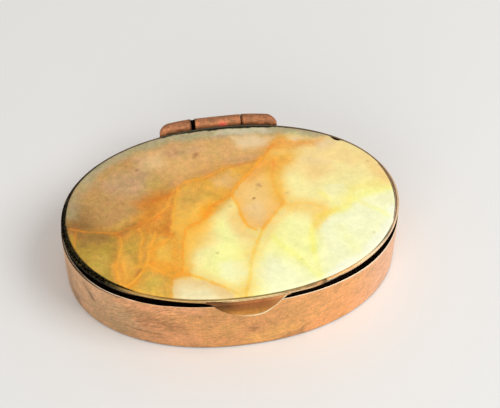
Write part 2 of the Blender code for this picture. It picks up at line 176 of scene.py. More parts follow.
# The band's fields over its front: tone, strength, feather and outline, by x and height in millimetres
# The dusty darker left and the brighter orange and pale blush right are partly tarnish and partly painted
# light, with the light falling from the right
WALL_FIELDS = (
    ("dust", 1.0, 4.0, ((-32, -3), (-32, 14), (-19, 14), (-14, -3))),
    ("orange", 1.0, 5.0, ((8, -3), (5, 14), (32, 14), (32, -3))),
    ("blush", 0.9, 4.0, ((20, -3), (20, 14), (32, 14), (32, -3))),
    ("ochre", 0.9, 2.4, ((-8, 1.5), (-8, 8), (3, 8.5), (7, 8), (8, 5), (6, 1), (0, 0))),
    ("gold", 0.4, 2.0, ((6, 2), (6, 9.5), (12, 9.5), (13, 5), (10, 2))),
    ("brown", 0.55, 1.6, ((-18.5, 0), (-18, 3.6), (-13, 3.6), (-12, 0.6))),
    ("olive", 0.75, 1.6, ((-24, 1), (-22, 6.4), (-17.5, 6.6), (-16, 3.4), (-19, 0.4))),
    ("olive", 0.5, 1.0, ((-22.4, 6), (-20.6, 8.6), (-18, 8.2), (-18.4, 6))),
    ("salmon", 0.85, 0.9, ((-20, 9.2), (-18, 12), (-7, 12), (-6, 9.6), (-10, 9.1), (-14, 8.4))),
    ("salmon", 0.6, 0.8, ((-16.6, 5.6), (-13.6, 5.4), (-12.6, 3.6), (-15.6, 3.8))),
    ("brown", 0.75, 1.4, ((-17.4, 7.6), (-12.6, 7.8), (-9.4, 6.8), (-10, 4.2), (-15.6, 4.4))),
    ("salmon", 0.55, 1.2, ((-14, 1), (-13, 3.6), (-8.4, 4), (-7, 1.4), (-10, 0.4))),
    ("gold", 0.9, 1.2, ((-0.6, 1), (0.6, 3.8), (4.4, 3.6), (7.6, 4), (8.4, 2.2), (4.6, 1.2))),
    ("gold", 0.5, 1.0, ((-5.4, 4.2), (-3.6, 6.4), (-1.6, 6), (-2.4, 3.8))),
    ("brown", 0.55, 0.8, ((0.2, 3.6), (0.4, 5.6), (2.2, 5.4), (2, 3.8))),
    ("brown", 0.15, 1.6, ((7.6, 5.4), (7, 8.8), (11.4, 9), (12.4, 6.4))),
    ("olive", 0.35, 1.6, ((-30, 2), (-30, 9), (-26.4, 9.4), (-25.6, 5), (-26, 1))),
    ("umber", 0.5, 0.6, ((5.4, 0.2), (5.8, 1.2), (8.2, 1.9), (9.4, 1.7), (9.6, 0.2))),
    ("umber", 0.25, 0.6, ((10.6, 1.4), (12.4, 2.6), (13.4, 2.6), (12, 1))),
    ("umber", 0.55, 0.5, ((-30, 0.6), (-30, 8.2), (-26.7, 7.8), (-26.2, 5), (-25.6, 2), (-24.9, 0.4))),
)
# The outline of the band's scuffed part, by x and height in millimetres
WALL_SCUFFS = ((-22, 4.5), (-20, 12), (-9, 12), (-9, 7), (-14, 3))
# Creases and scratches on the band's front: strength, half width and route, by x and height in millimetres
WALL_SCRATCHES = (
    (0.26, 0.55, ((-24.1, 8.4), (-23.6, 7.7))),
    (0.52, 0.20, ((-24.2, 8.7), (-23.8, 7.9), (-23.4, 7.2))),
    (0.66, 0.22, ((-23.45, 7.4), (-23.2, 6.7), (-23.05, 6.0))),
    (0.35, 0.09, ((-25.6, 6.6), (-25.0, 5.2), (-24.7, 4.2))),
    (0.30, 0.08, ((-22.4, 4.4), (-21.2, 3.9), (-20.2, 4.1))),
    (0.5, 0.10, ((-19.6, 3.6), (-17, 2.9), (-14.6, 3.1), (-13.2, 3.0))),
    (0.4, 0.09, ((-13.6, 6.1), (-11.4, 5.8), (-9.8, 5.9))),
    (0.35, 0.08, ((-8.2, 8.9), (-6.4, 8.7), (-4.6, 8.9))),
    (0.4, 0.10, ((0.2, 4.9), (1.7, 4.6))),
    (0.4, 0.10, ((0.1, 4.2), (1.4, 4.0))),
    (0.45, 0.12, ((8.8, 1.9), (10.2, 2.8))),
    (0.3, 0.09, ((4.6, 8.8), (5.8, 7.2), (6.4, 5.8))),
)

# The bezel's colours by x in millimetres: its top and its outer face, for the front half and the back half.
# Light and shade are painted in: near black where it lies in shade at the left, cream where it catches the
# light above the lip, and paler towards the right
BEZEL_TOP_FRONT = (
    (-27, (0.03, 0.02, 0.012)), (-22, (0.10, 0.08, 0.015)), (-19.5, (0.20, 0.14, 0.03)),
    (-17.5, (0.50, 0.30, 0.09)), (-13, (0.60, 0.38, 0.12)), (-8, (0.62, 0.40, 0.15)),
    (-6, (0.70, 0.47, 0.20)), (-4, (0.93, 0.72, 0.34)), (4, (0.92, 0.72, 0.34)), (6, (0.86, 0.60, 0.28)),
    (9, (0.70, 0.44, 0.18)), (11.5, (0.66, 0.37, 0.13)), (12.2, (0.25, 0.12, 0.04)),
    (12.8, (0.85, 0.48, 0.17)), (17, (0.90, 0.52, 0.22)), (19, (0.94, 0.70, 0.40)), (23, (0.94, 0.72, 0.46)),
    (25.5, (0.90, 0.64, 0.40)), (27, (0.82, 0.55, 0.32)),
)
BEZEL_FACE_FRONT = (
    (-27, (0.02, 0.014, 0.01)), (-21, (0.06, 0.045, 0.012)), (-18, (0.24, 0.15, 0.05)),
    (-14, (0.46, 0.26, 0.10)), (-8, (0.54, 0.32, 0.12)), (-5, (0.66, 0.42, 0.16)), (-3.4, (1.0, 0.92, 0.54)),
    (5.6, (1.0, 0.92, 0.56)), (7, (0.98, 0.76, 0.44)), (11, (0.90, 0.56, 0.26)), (12.2, (0.30, 0.16, 0.06)),
    (13, (0.90, 0.74, 0.50)), (16, (0.90, 0.58, 0.30)), (20, (0.95, 0.70, 0.42)), (24, (0.86, 0.58, 0.32)),
    (27, (0.68, 0.43, 0.23)),
)
BEZEL_TOP_BACK = (
    (-27, (0.03, 0.02, 0.012)), (-24, (0.08, 0.045, 0.02)), (-16, (0.17, 0.10, 0.05)),
    (-10, (0.16, 0.10, 0.05)), (-8.5, (0.10, 0.11, 0.07)), (8.5, (0.10, 0.11, 0.07)),
    (11, (0.20, 0.13, 0.07)), (18, (0.20, 0.13, 0.07)), (23, (0.38, 0.24, 0.12)), (26, (0.60, 0.38, 0.20)),
    (27, (0.80, 0.53, 0.30)),
)
BEZEL_FACE_BACK = (
    (-27, (0.02, 0.014, 0.01)), (-20, (0.10, 0.06, 0.03)), (-9, (0.22, 0.12, 0.06)), (9, (0.22, 0.12, 0.06)),
    (15, (0.34, 0.19, 0.09)), (25, (0.40, 0.24, 0.11)), (27, (0.66, 0.41, 0.22)),
)
# How much darker the top of the hoop's front is than its face there, by x in millimetres, and by which colour
BEZEL_STRIP = (
    (-27, 1.0), (-14, 1.0), (-12, 0.62), (-5, 0.60), (-2, 0.50), (5, 0.52), (9, 0.62), (11.6, 0.80),
    (12.6, 1.0), (27, 1.0),
)
BEZEL_STRIP_FILTER = (1.0, 1.2, 1.6)
# Dark marks on the bezel by x in millimetres: painted shade all over it where it lies in shadow at the left,
# and dark lines in its groove beside the stone and in its crease
BEZEL_SHADE_FRONT = (
    (-27, 1.4), (-23.5, 1.3), (-21.5, 1.1), (-19.8, 0.6), (-18.4, 0.15), (-16.5, 0.0), (27, 0.0),
)
BEZEL_SHADE_BACK = ((-27, 1.0), (-24, 0.7), (-20, 0.35), (-10, 0.3), (27, 0.0))
BEZEL_GROOVE = (
    (-27, 0.0), (-20, 0.1), (-15, 0.2), (-6, 0.3), (-3.2, 0.0), (-2.2, 0.9), (6, 0.85), (12, 0.9),
    (13, 0.35), (20, 0.25), (22, 0.9), (27, 1.0),
)
BEZEL_CREASE = (
    (-27, 0.0), (5.4, 0.0), (6.2, 1.0), (9.4, 0.9), (11.8, 0.6), (12.6, 0.0), (21.5, 0.0), (23.5, 0.85),
    (27, 0.95),
)
BEZEL_GROOVE_BACK = ((-27, 0.4), (22, 0.4), (27, 1.0))
BEZEL_CREASE_BACK = ((-27, 0.0), (20, 0.0), (25, 0.8), (27, 0.95))
# The hoop's right end: how far its lower edge flares out, and how far its top laps over the stone and rises
BEZEL_FLARE = 0.37 * MM
BEZEL_LAP = 0.22 * MM
BEZEL_LAP_RISE = 0.25 * MM
# The place of the hoop's joint, by x in millimetres
BEZEL_JOINT = 12.3

# Outer knuckles: their round ends' length, the share of the radius at their tips, and their bores' depth
KNUCKLE_ROUNDING = 1.6 * MM
KNUCKLE_TIP = 0.35
KNUCKLE_SEAT = 1.9 * MM
# A red fleck on the middle knuckle, and the near-black collar that fills the hinge's left gap as painted
# shade
RED_FLECK = (1.2 * MM, 18.15 * MM, 12.05 * MM)
RED_FLECK_REACH = 0.42 * MM
RED_FLECK_SQUEEZE = (0.75, 1.0, 1.0)
RED_FLECK_TONE = (0.88, 0.11, 0.09)
COLLAR_RADIUS = 0.92 * MM
COLLAR_MARGIN = 0.05 * MM

# Thumb lip: its sheet, its lowest point, and for each side of that the reach and the two powers of its arch
LIP_SHEET = 0.35 * MM
LIP_MIDDLE = 0.7 * MM
LIP_LEFT = (6.0 * MM, 2.4, 0.85)
LIP_RIGHT = (5.1 * MM, 2.8, 1.10)
LIP_TAIL = 0.9 * MM
LIP_EASE = 0.28 * MM
LIP_DEPTH = 2.4 * MM
LIP_TAB = 0.25 * MM
LIP_FLARE = 0.8 * MM
LIP_FLARE_CURVE = 1.5
# The lip's tones at its left, top, right and lower part, with light and shade painted in, and a painted
# highlight along its top
LIP_LIGHT_AND_SHADE_TONES = ((0.15, 0.058, 0.016), (0.41, 0.147, 0.044), (0.57, 0.25, 0.085), (0.46, 0.20, 0.042))
LIP_SHINE = 0.05
LIP_SHINE_TONE = (0.92, 0.70, 0.36)

# Tones of the stone, as they look in even daylight
STONE_TONES = {
    "umber": (0.31, 0.155, 0.035),
    "tan": (0.55, 0.30, 0.09),
    "rose": (0.58, 0.35, 0.165),
    "sage": (0.46, 0.38, 0.20),
    "mist": (0.64, 0.57, 0.36),
    "sand": (0.74, 0.42, 0.14),
    "shell": (0.83, 0.61, 0.33),
    "olive": (0.49, 0.29, 0.035),
    "moss": (0.66, 0.43, 0.07),
    "rust": (0.67, 0.24, 0.018),
    "copper": (0.85, 0.37, 0.05),
    "amber": (0.90, 0.38, 0.02),
    "blaze": (0.95, 0.46, 0.02),
    "honey": (0.78, 0.42, 0.06),
    "gold": (0.94, 0.56, 0.09),
    "peach": (0.93, 0.60, 0.20),
    "wheat": (0.94, 0.70, 0.28),
    "cream": (0.94, 0.83, 0.35),
    "butter": (0.94, 0.92, 0.40),
    "lemon": (0.94, 0.94, 0.34),
    "ivory": (0.93, 0.93, 0.58),
    "pearl": (0.86, 0.67, 0.33),
    # A painted highlight, for the bevel
    "bevel_highlight": (0.94, 0.94, 0.76),
}

# The stone's fields, later ones over earlier ones: tone, strength, feather and outline, in millimetres
STONE_GROUND = "cream"
STONE_FIELDS = (
    ("honey", 1.0, 1.5, ((-32, -24), (-32, 24), (14, 24), (11, 13), (7.5, 10), (1.5, 3), (-3, -1.6),
        (-6.4, -5.4), (-8, -12), (-11, -15), (-13, -24))),
    ("tan", 1.0, 1.5, ((-32, -2), (-32, 22), (4, 22), (7, 9.5), (-1, 8.2), (-8, 4.8), (-12, 2.4),
        (-16, -1.0), (-22, -2))),
    ("umber", 1.0, 2.4, ((-29, -3), (-29, 7), (-24.5, 5.5), (-22.5, 2), (-20.5, -1), (-22, -2.5))),
    ("rose", 0.9, 2.0, ((-20, 7.5), (-17, 9.5), (-12.5, 9.5), (-10.5, 7), (-13, 4.5), (-18, 5))),
    ("sand", 1.0, 2.0, ((-12.5, 14), (-6, 15), (9, 14.6), (7, 9.5), (-1, 8), (-7.5, 5.5), (-10, 7.5),
        (-12.5, 11))),
    ("moss", 0.5, 1.2, ((-12.5, 7.5), (-11, 8), (-9.5, 6.5), (-9.5, 4.8), (-12, 4), (-13, 5.5))),
    ("rose", 0.55, 1.0, ((-9.5, 13.8), (-4, 13.8), (-3, 12), (-8, 11.4), (-10, 12.4))),
    ("rose", 0.6, 0.9, ((0, 10.4), (5.4, 10.2), (6, 9.3), (1, 9.2))),
    ("sage", 1.0, 1.1, ((-24, 9.5), (-20, 12.8), (-14, 16), (-8, 17.5), (0, 18.5), (8, 18), (14, 16.4),
        (20, 12.2), (17, 12.2), (13, 13.7), (8, 14.8), (0, 14.6), (-8, 15), (-14, 13.4), (-19, 11),
        (-22.5, 8))),
    ("sage", 0.6, 1.3, ((-27, 1), (-26, 7), (-21.5, 10), (-20.8, 8.4), (-23, 5.4), (-24.4, 1.4))),
    ("mist", 0.9, 0.7, ((2, 17.2), (8, 16.6), (9, 15.2), (5, 14.9), (0, 15.6))),
    ("shell", 0.95, 0.9, ((2.2, 14.3), (6, 14.6), (9, 14), (7.6, 12.2), (5, 11.8), (2.6, 12.8))),
    ("wheat", 1.0, 1.6, ((9, 12), (14, 12), (19.5, 12), (25, 7.5), (28, 2), (26, 0.4), (20, 4), (14, 3),
        (9, 5))),
    ("shell", 0.8, 1.0, ((15, 12.4), (18, 12), (19, 10.6), (16, 10))),
    ("copper", 0.85, 1.1, ((7.8, 12.4), (10.4, 13.6), (13, 13.2), (17.5, 12.2), (15.5, 11.1), (12, 10.5),
        (8.6, 10.6))),
    ("shell", 0.8, 0.5, ((11.3, 13.2), (12.6, 13.4), (14.2, 12.8), (12.4, 12.3))),
    ("cream", 0.7, 1.5, ((9.5, 5.5), (12, 5), (13, 3), (17, 4), (20, 5.5), (23.5, 6), (24.5, 1.4), (19, 1),
        (14, 0), (10, 0.5))),
    ("shell", 0.35, 0.7, ((13, 8.8), (16.5, 8.2), (17.6, 6.8), (15, 6.6), (13.2, 7.2))),
    ("cream", 0.6, 0.8, ((17.6, 7.4), (19.6, 7), (20.2, 5.2), (18.6, 4.6), (17.4, 5.8))),
    ("peach", 0.35, 0.8, ((13.4, 6.2), (15.6, 6), (16, 4.6), (13.8, 4.4))),
    ("honey", 1.0, 0.6, ((-8.2, 4.2), (-6.6, 5.8), (-2.5, 6.6), (1, 8), (6.4, 9), (3, 5.2), (0.4, 2.4),
        (-3, 0), (-9.2, -1))),
    ("shell", 0.45, 1.0, ((-2.4, 6), (0.8, 7), (2.3, 5.6), (0.6, 3.9), (-1.8, 4.6))),
    ("rust", 0.85, 1.5, ((-15.2, 3), (-11.5, 4.4), (-8.4, 4.6), (-8.8, 0), (-9.2, -3.2), (-10, -4.9),
        (-11.6, -4.4), (-13.6, -2.8), (-15.8, -2), (-14.4, 0.6))),
    ("umber", 0.8, 0.9, ((-20, -2.6), (-18.6, -3.8), (-15.6, -2.8), (-14, -1.7), (-15.4, -1.4), (-18, -2))),
    ("copper", 0.6, 0.9, ((-13.2, -2), (-11.2, -2.4), (-10.4, -1), (-9.6, 1.4), (-9, 3.4), (-10.6, 2.6),
        (-12, 0.2))),
    ("rust", 1.0, 0.7, ((-11, -2), (-9.4, -1.8), (-9.7, -4.6), (-11.2, -4.2))),
    ("gold", 0.85, 0.8, ((-8.3, 4.3), (-9, -0.2), (-9.3, -2.5), (-9.8, -3.7), (-8, -4.4), (-6.4, -2.8),
        (-4, -0.6), (-2.4, 1.4), (-4.6, 3), (-6.8, 4.4))),
    ("honey", 0.8, 1.0, ((-8.4, 4.2), (-9, -1), (-6.6, -0.4), (-4.4, 1.6), (-4.6, 4))),
    ("tan", 0.25, 1.0, ((-8, 4.6), (-8, 1), (-5, 1.6), (-4.6, 4.4))),
    ("shell", 0.4, 1.4, ((-14, 12.6), (-10, 12.8), (-9.6, 9.6), (-13.4, 9.4))),
    ("peach", 1.0, 0.7, ((0.6, 2.4), (3, 5.4), (6.4, 8.6), (8.5, 6), (9, 1), (8, -1.4), (4.2, -5.2),
        (1.8, -4.6), (1.2, -1))),
    ("gold", 0.95, 1.5, ((5.8, 8.2), (7.4, 10.4), (11, 10.8), (12.6, 9.4), (10.6, 7), (9.4, 4.6), (9.4, 1.6),
        (8.4, -1), (6.8, 0), (6.2, 4))),
    ("copper", 0.65, 1.3, ((3, 6), (6, 9), (11, 10.2), (11.4, 8), (8.6, 5.8), (6, 6), (4, 4.8))),
    ("shell", 0.45, 0.8, ((1.8, -0.6), (4.6, 0.4), (5.6, -1.6), (4.4, -3.8), (2.6, -4.4))),
    ("olive", 1.0, 0.6, ((-30, -1.8), (-24.5, -2), (-18.8, -2.9), (-17.7, -5), (-18.3, -7.4), (-19.3, -9),
        (-19.2, -15), (-26, -14))),
    ("umber", 0.8, 1.0, ((-25, -1.4), (-19.2, -2.4), (-19.4, -4), (-24, -4.4))),
    ("moss", 0.6, 0.9, ((-22.6, -6), (-20.4, -6.4), (-20, -8.2), (-20.6, -11), (-22.4, -9))),
    ("honey", 0.95, 0.7, ((-19.5, -8.6), (-18.2, -6), (-17.8, -3.8), (-14.6, -3.2), (-13, -4.2),
        (-10.4, -5.2), (-8, -4.8), (-8, -12.4), (-12, -11.2), (-14.4, -9.5), (-17.8, -13.4),
        (-19.6, -13.2))),
    ("rust", 0.55, 1.0, ((-18.2, -3.2), (-14.6, -2.4), (-13.2, -3), (-14.2, -4.4), (-17.6, -4.6))),
    ("olive", 0.75, 0.8, ((-17.6, -3.8), (-15.2, -3.4), (-14.9, -5), (-15.6, -8.6), (-17.4, -6.8))),
    ("umber", 0.6, 0.4, ((-15.6, -9.6), (-14.7, -10), (-15.9, -11.4), (-16.4, -11.2))),
    ("umber", 0.30, 0.5, ((-18.9, -3.6), (-18.1, -4.2), (-18.3, -6.6), (-19, -8.2), (-19.5, -8), (-19, -6))),
    ("umber", 0.25, 0.5, ((-13.8, -3), (-13, -3.6), (-14, -7.2), (-14.8, -8.4), (-14.6, -6))),
    ("amber", 0.6, 0.6, ((-13.4, -5), (-11, -5.4), (-9.5, -5), (-9, -8), (-8.4, -12), (-12, -11),
        (-14, -9.4))),
    ("gold", 0.6, 0.7, ((-12.6, -6.4), (-10.2, -6), (-9.8, -9.6), (-12.6, -8.8))),
    ("copper", 0.55, 0.7, ((-19.4, -8.6), (-18, -7.2), (-16.6, -9.4), (-17.4, -12.6), (-19.2, -12.4))),
    ("moss", 0.8, 0.4, ((-14.4, -10.6), (-11.2, -12.2), (-11, -15.6), (-14.2, -15), (-16.2, -13))),
    ("honey", 0.6, 0.8, ((-13.6, -13.6), (-11, -13), (-10.6, -16.6), (-16, -15.4))),
    ("gold", 0.9, 1.2, ((-8.2, -3.2), (-4, -1.4), (-2.4, -3.2), (-3.4, -6.6), (-6.4, -8.4), (-8.2, -12),
        (-9.4, -12))),
    ("cream", 0.7, 2.0, ((-5.6, -7.4), (-4.4, -5), (-2.6, -2), (0, -1.6), (1.6, -4), (2.2, -7), (1, -13),
        (-0.8, -15.8), (-4, -13.6), (-6.6, -11.8), (-7, -9.4))),
    ("blaze", 0.85, 0.8, ((-4.8, 0.6), (-3.2, 1.6), (-2.4, 0.6), (-3.2, -1.2), (-4.6, -2.2), (-5.4, -1.4))),
    ("blaze", 0.35, 0.7, ((-2.6, 1.4), (-0.4, 2.6), (0.4, 2), (-1.6, 0.4), (-3, -0.6))),
    ("lemon", 0.8, 1.4, ((-2.8, -2.6), (-1.2, -2.6), (0, -7), (0.8, -9), (1, -13), (-1, -15), (-4, -13),
        (-5.8, -11), (-4.4, -8.8), (-2.8, -6.4))),
    ("ivory", 0.6, 0.8, ((-3.6, -11), (0.6, -11), (0.8, -13.6), (-1, -14.8), (-3.6, -13.2))),
    ("peach", 0.55, 0.9, ((-0.8, -1), (0.8, -1), (1.6, -4.8), (2.6, -7), (1, -6.6), (-0.6, -4))),
    ("pearl", 1.0, 0.5, ((-10.4, -13.2), (-8, -12.7), (-5, -14), (-2, -16.4), (-2, -18), (-11, -17))),
    ("ivory", 0.4, 0.8, ((-9.6, -14.6), (-6, -15), (-4, -17.6), (-9.6, -17))),
    ("butter", 1.0, 1.1, ((4.4, -5.6), (8, -2.4), (10.6, -2.2), (11.6, -4), (14, -5.6), (16, -3.4),
        (24.5, -3), (28, -4), (19, -18), (0.4, -19), (1.6, -13), (2.6, -9))),
    ("ivory", 0.85, 1.6, ((13.6, -7), (15.4, -4), (19, -3.4), (28, -4), (19, -18), (3, -19), (2.4, -13),
        (4, -10.4), (8, -12), (11, -13))),
    ("wheat", 0.6, 0.8, ((5.4, -4), (8.2, -1.8), (9.4, -2.2), (7, -4.6), (4.6, -8), (3.4, -9))),
    ("cream", 0.7, 0.9, ((9, -1.6), (12, -2), (13.4, -5), (12.6, -8), (11.4, -9), (11.2, -5), (9.4, -3.6))),
    ("gold", 0.5, 0.9, ((8.6, 0.2), (12, -0.2), (15, -0.8), (15.6, -2.6), (14.2, -4.2), (13, -6.4),
        (12.2, -6), (12.2, -3), (9, -1.6))),
    ("ivory", 0.85, 0.25, ((13.2, -6.8), (14.2, -5), (15, -4), (16.2, -3.2), (18.5, -3.6), (20, -7),
        (14, -9))),
    ("ivory", 0.8, 0.8, ((16.6, -2.6), (19, -2), (21, 0.4), (27.4, 1), (27.4, -5), (20, -6))),
    ("ivory", 0.4, 0.5, ((15.4, 1.8), (18.6, 2.2), (19.6, -0.2), (17.2, -2.2), (15.6, -1.8))),
    ("lemon", 0.35, 1.8, ((4, -6.4), (9, -6), (13.6, -7), (13.4, -11), (13, -16), (9, -15.6), (5.4, -10))),
    ("peach", 0.5, 1.0, ((24, 7), (25.8, 4.5), (26.4, 1.2), (25, 2), (23.6, 5))),
    # Painted highlight on the polished bevel along the front right edge
    ("bevel_highlight", 0.6, 0.5, ((10, -15.9), (14, -14.1), (19, -11.1), (22.8, -7.4), (24.9, -3.2), (27.5, -3),
        (22, -14), (10, -17))),
)

# All veins: their reach in vein widths, a factor on their half widths, and their glow's strength and reach
VEIN_REACH = 8.0
VEIN_WIDTH = 0.72
VEIN_GLOW = 0.8
VEIN_HALO = 4.5
# The stone's veins: strength, half width and route, in millimetres
STONE_VEINS = (
    (0.50, 0.70, ((8.8, 12.2), (8, 11.4), (7.5, 10.8), (7, 10), (6.3, 9.1), (4.8, 8.8), (3, 8.5), (1, 8.2),
        (-1, 7.6), (-2.2, 7))),
    (0.62, 0.62, ((-2.2, 7), (-3.5, 6.3), (-5, 6), (-6.2, 6), (-7, 5.6), (-8.1, 4.5), (-9.2, 3.8),
        (-10, 3.3), (-12, 2.9))),
    (0.95, 0.42, ((8.2, 11.4), (7.4, 10.7), (6.9, 9.8), (6.2, 8.9), (5.3, 8), (4.5, 7.2), (3.6, 6.2),
        (3, 5.3), (2.2, 4.7), (1.4, 3.9), (0.5, 2.6), (0.6, 1.8), (0.9, 0.8), (1.2, -0.5), (1.4, -1.6),
        (1.8, -3), (2.2, -4.4), (3.2, -5.2))),
    (0.70, 0.16, ((-8.1, 4.4), (-8.4, 3.2), (-8.8, 1.6), (-9.1, 0), (-9.2, -1.2), (-9.3, -2.4), (-9.7, -3.5),
        (-10.3, -4.8), (-11.3, -5.6), (-12.3, -6.3))),
    (0.80, 0.30, ((-25.6, -0.8), (-24.4, -1.2), (-23.3, -1.6), (-21.8, -2), (-20.4, -2.3), (-19.4, -2.6),
        (-18.3, -2.8))),
    (0.75, 0.28, ((-18.3, -2.8), (-17.2, -2.3), (-15.6, -2.2), (-14.6, -1.6), (-13.4, -1.1), (-12, -0.4),
        (-10.8, 0.3))),
    (0.70, 0.26, ((-24.6, -1.3), (-24.8, -2.6), (-25.1, -4), (-25.2, -5.4))),
    (0.72, 0.24, ((-18.3, -3), (-17.8, -4), (-17.8, -5.2), (-18.2, -6.4), (-18.7, -7.8), (-19, -9.5),
        (-19, -11), (-18.7, -12.4))),
    (0.45, 0.22, ((-18.4, -8.6), (-18.1, -10.6), (-18, -12.8))),
    (0.64, 0.20, ((-14.8, -2.2), (-14.4, -3.6), (-14.6, -5.2), (-15, -7), (-15.3, -9.2))),
    (0.58, 0.20, ((-13.4, -2.4), (-13.8, -4), (-14.4, -5.4), (-14.9, -6.8))),
    (0.88, 0.22, ((-12.3, -3.8), (-12.8, -5), (-13.4, -6.4), (-13.9, -7.8), (-14.2, -9.4))),
    (0.55, 0.18, ((-12.3, -6.3), (-13.2, -7), (-13.8, -8))),
    (1.00, 0.30, ((-14.3, -9.3), (-13.4, -10.1), (-12.4, -10.8), (-11.4, -11.5), (-10.6, -12.2))),
    (1.00, 0.34, ((-14.3, -9.5), (-15, -10.5), (-15.8, -11.4), (-16.8, -12.3), (-18.2, -13.1))),
    (0.90, 0.45, ((-16.2, -12.1), (-16.9, -12.7), (-17.6, -13.2))),
    (0.85, 0.50, ((-10.6, -12.2), (-9.6, -12), (-8.2, -12.1), (-6.8, -12.7), (-5.6, -13.5), (-4.4, -14.5),
        (-3, -15.3))),
    (0.62, 0.42, ((-3, -15.3), (-1.8, -16.1), (-0.6, -17.2))),
    (0.45, 0.26, ((-10.4, -12.3), (-10.8, -13.4), (-11, -14.4), (-11.3, -15.6))),
    (0.55, 0.60, ((0.3, 2.3), (-1, 1.6), (-2.3, 0.9), (-3.2, 0.2))),
    (0.90, 0.66, ((-3.2, 0.2), (-3.8, -0.8), (-4.6, -1.9), (-5.4, -2.5), (-6.8, -3))),
    (0.75, 0.42, ((-6.8, -3), (-7.7, -3.8), (-8.1, -5.2), (-8.5, -6.6), (-8.6, -8.2), (-8.7, -10),
        (-9.2, -11.8))),
    (0.80, 0.62, ((8.3, -0.4), (7.9, -1.2), (7, -2.2), (6, -3.2), (5, -4.2), (4.3, -5))),
    (0.78, 0.62, ((4.3, -5), (3.8, -6), (3.2, -7.2), (2.7, -8.4), (2.1, -9.6))),
    (0.60, 0.60, ((2.1, -9.6), (1.7, -10.8), (1.3, -12), (1.1, -13.4), (0.8, -14.6), (0.4, -15.6))),
    (0.75, 0.55, ((0.4, -15.6), (0, -16.6), (-0.3, -17.6))),
    (0.55, 0.40, ((-0.3, -16), (-0.7, -16.7), (-1, -17.6))),
    (0.35, 0.55, ((8.2, 8.6), (7.9, 7), (7.5, 5.4), (7.3, 3.6), (7.6, 1.8), (8.3, -0.2))),
    (0.30, 0.40, ((8.6, -0.9), (10.2, -0.8), (12, -1), (13.6, -1.6), (14.6, -2.4))),
    (0.30, 0.22, ((12.4, -5.6), (13.6, -5.2), (14.4, -4.2), (15.2, -3.5), (16.4, -2.9))),
)

# Yellow streaks in the stone's pale side: strength, half width and route, in millimetres
STONE_STREAKS = (
    (0.75, 0.75, ((13.6, -4), (14.8, -3.2), (16.5, -2.9), (18.6, -2.5), (19.7, -1.4), (22, -0.2),
        (26, 0.5))),
    (0.50, 0.40, ((20.4, -1.6), (22, -3), (23.4, -4.2), (24.4, -5.2))),
    (0.65, 0.55, ((12.6, -5), (11.9, -6.4), (11.6, -8), (11.4, -10.4))),
    (0.45, 0.60, ((5.6, -7), (7, -9), (8.6, -11), (10, -13), (11.4, -14.8), (12.4, -15.8))),
    (0.35, 0.50, ((11.4, -10), (11.6, -12.4), (11.8, -15))),
    (0.25, 1.10, ((16.4, -6.4), (17.4, -9), (18.6, -12.4))),
    (0.40, 0.50, ((14.6, 1), (15.6, -0.6), (16.4, -2.4))),
    (0.45, 1.20, ((17.6, -1.2), (20, 0.6), (24, 1.6))),
)
STREAK_FILTER = (0.0, 0.02, 0.52)
# Thin bright lines inside the darker veins: strength, half width and route, in millimetres
STONE_THREADS = (
    (0.85, 0.15, ((-8.0, 4.6), (-8.4, 3.2), (-8.8, 1.6), (-9.1, 0), (-9.2, -1.2), (-9.3, -2.4),
        (-9.7, -3.5))),
    (0.55, 0.13, ((-9.7, -3.5), (-10.3, -4.8), (-11.3, -5.6), (-12.3, -6.3), (-13.4, -7.4), (-14.1, -9.2))),
    (0.80, 0.17, ((-12.3, -3.4), (-12.8, -5), (-13.4, -6.4), (-13.9, -7.8), (-14.3, -9.3))),
    (0.85, 0.20, ((-14.3, -9.3), (-15, -10.5), (-15.8, -11.4), (-16.8, -12.3), (-18.2, -13.1))),
    (0.75, 0.18, ((-14.3, -9.4), (-13.4, -10.1), (-12.4, -10.8), (-11.4, -11.5), (-10.6, -12.2))),
    (0.70, 0.18, ((-14.8, -2.4), (-14.4, -3.6), (-14.6, -5.2), (-15, -7), (-15.3, -9.2))),
    (0.70, 0.17, ((-18.2, -3.2), (-17.7, -4), (-17.7, -5.2), (-18.1, -6.4), (-18.6, -7.8), (-18.9, -9.5),
        (-18.9, -11), (-18.6, -12.4))),
    (0.70, 0.15, ((-18.0, -8), (-17.6, -9.6), (-17.8, -11.6), (-18.2, -13))),
    (0.60, 0.15, ((-11, 0.2), (-9.9, 1.8), (-9.3, 3.4), (-8.6, 4.6))),
    (0.60, 0.15, ((-13.6, -1), (-12.2, -0.2), (-10.8, 0.6), (-9.8, 1.6))),
    (0.35, 0.13, ((-10.5, -12.4), (-10.7, -13.6), (-11.1, -14.8), (-11.4, -15.8))),
    (0.40, 0.14, ((-7.4, -3.4), (-8, -5), (-8.3, -6.8), (-8.4, -8.6), (-8.8, -11))),
    (0.45, 0.15, ((-24.7, -1.6), (-24.9, -3), (-25.2, -4.8))),
    (0.45, 0.17, ((-25.4, -0.9), (-24.4, -1.3), (-23.3, -1.7), (-21.8, -2.1), (-20.4, -2.3), (-18.4, -2.6))),
    (0.50, 0.17, ((-18.4, -2.6), (-17.2, -2.2), (-15.6, -2.0), (-14.6, -1.5), (-13.4, -1.0), (-12, -0.2))),
    (0.55, 0.16, ((-8.2, 4.7), (-6.6, 5.9), (-5, 6.1), (-3.4, 6.4), (-1, 7.6), (1, 8.3))),
    (0.55, 0.16, ((0.6, 2.8), (1.4, 4), (2.6, 5.1), (3.6, 6.3), (5, 7.8), (6.6, 9.6))),
    (0.50, 0.16, ((0.5, 2.4), (0.8, 1), (1.3, -0.8), (1.8, -2.8), (2.2, -4.2))),
    (0.45, 0.16, ((-10.4, -12.1), (-8.2, -12), (-6.6, -12.8), (-4.4, -14.4))),
)

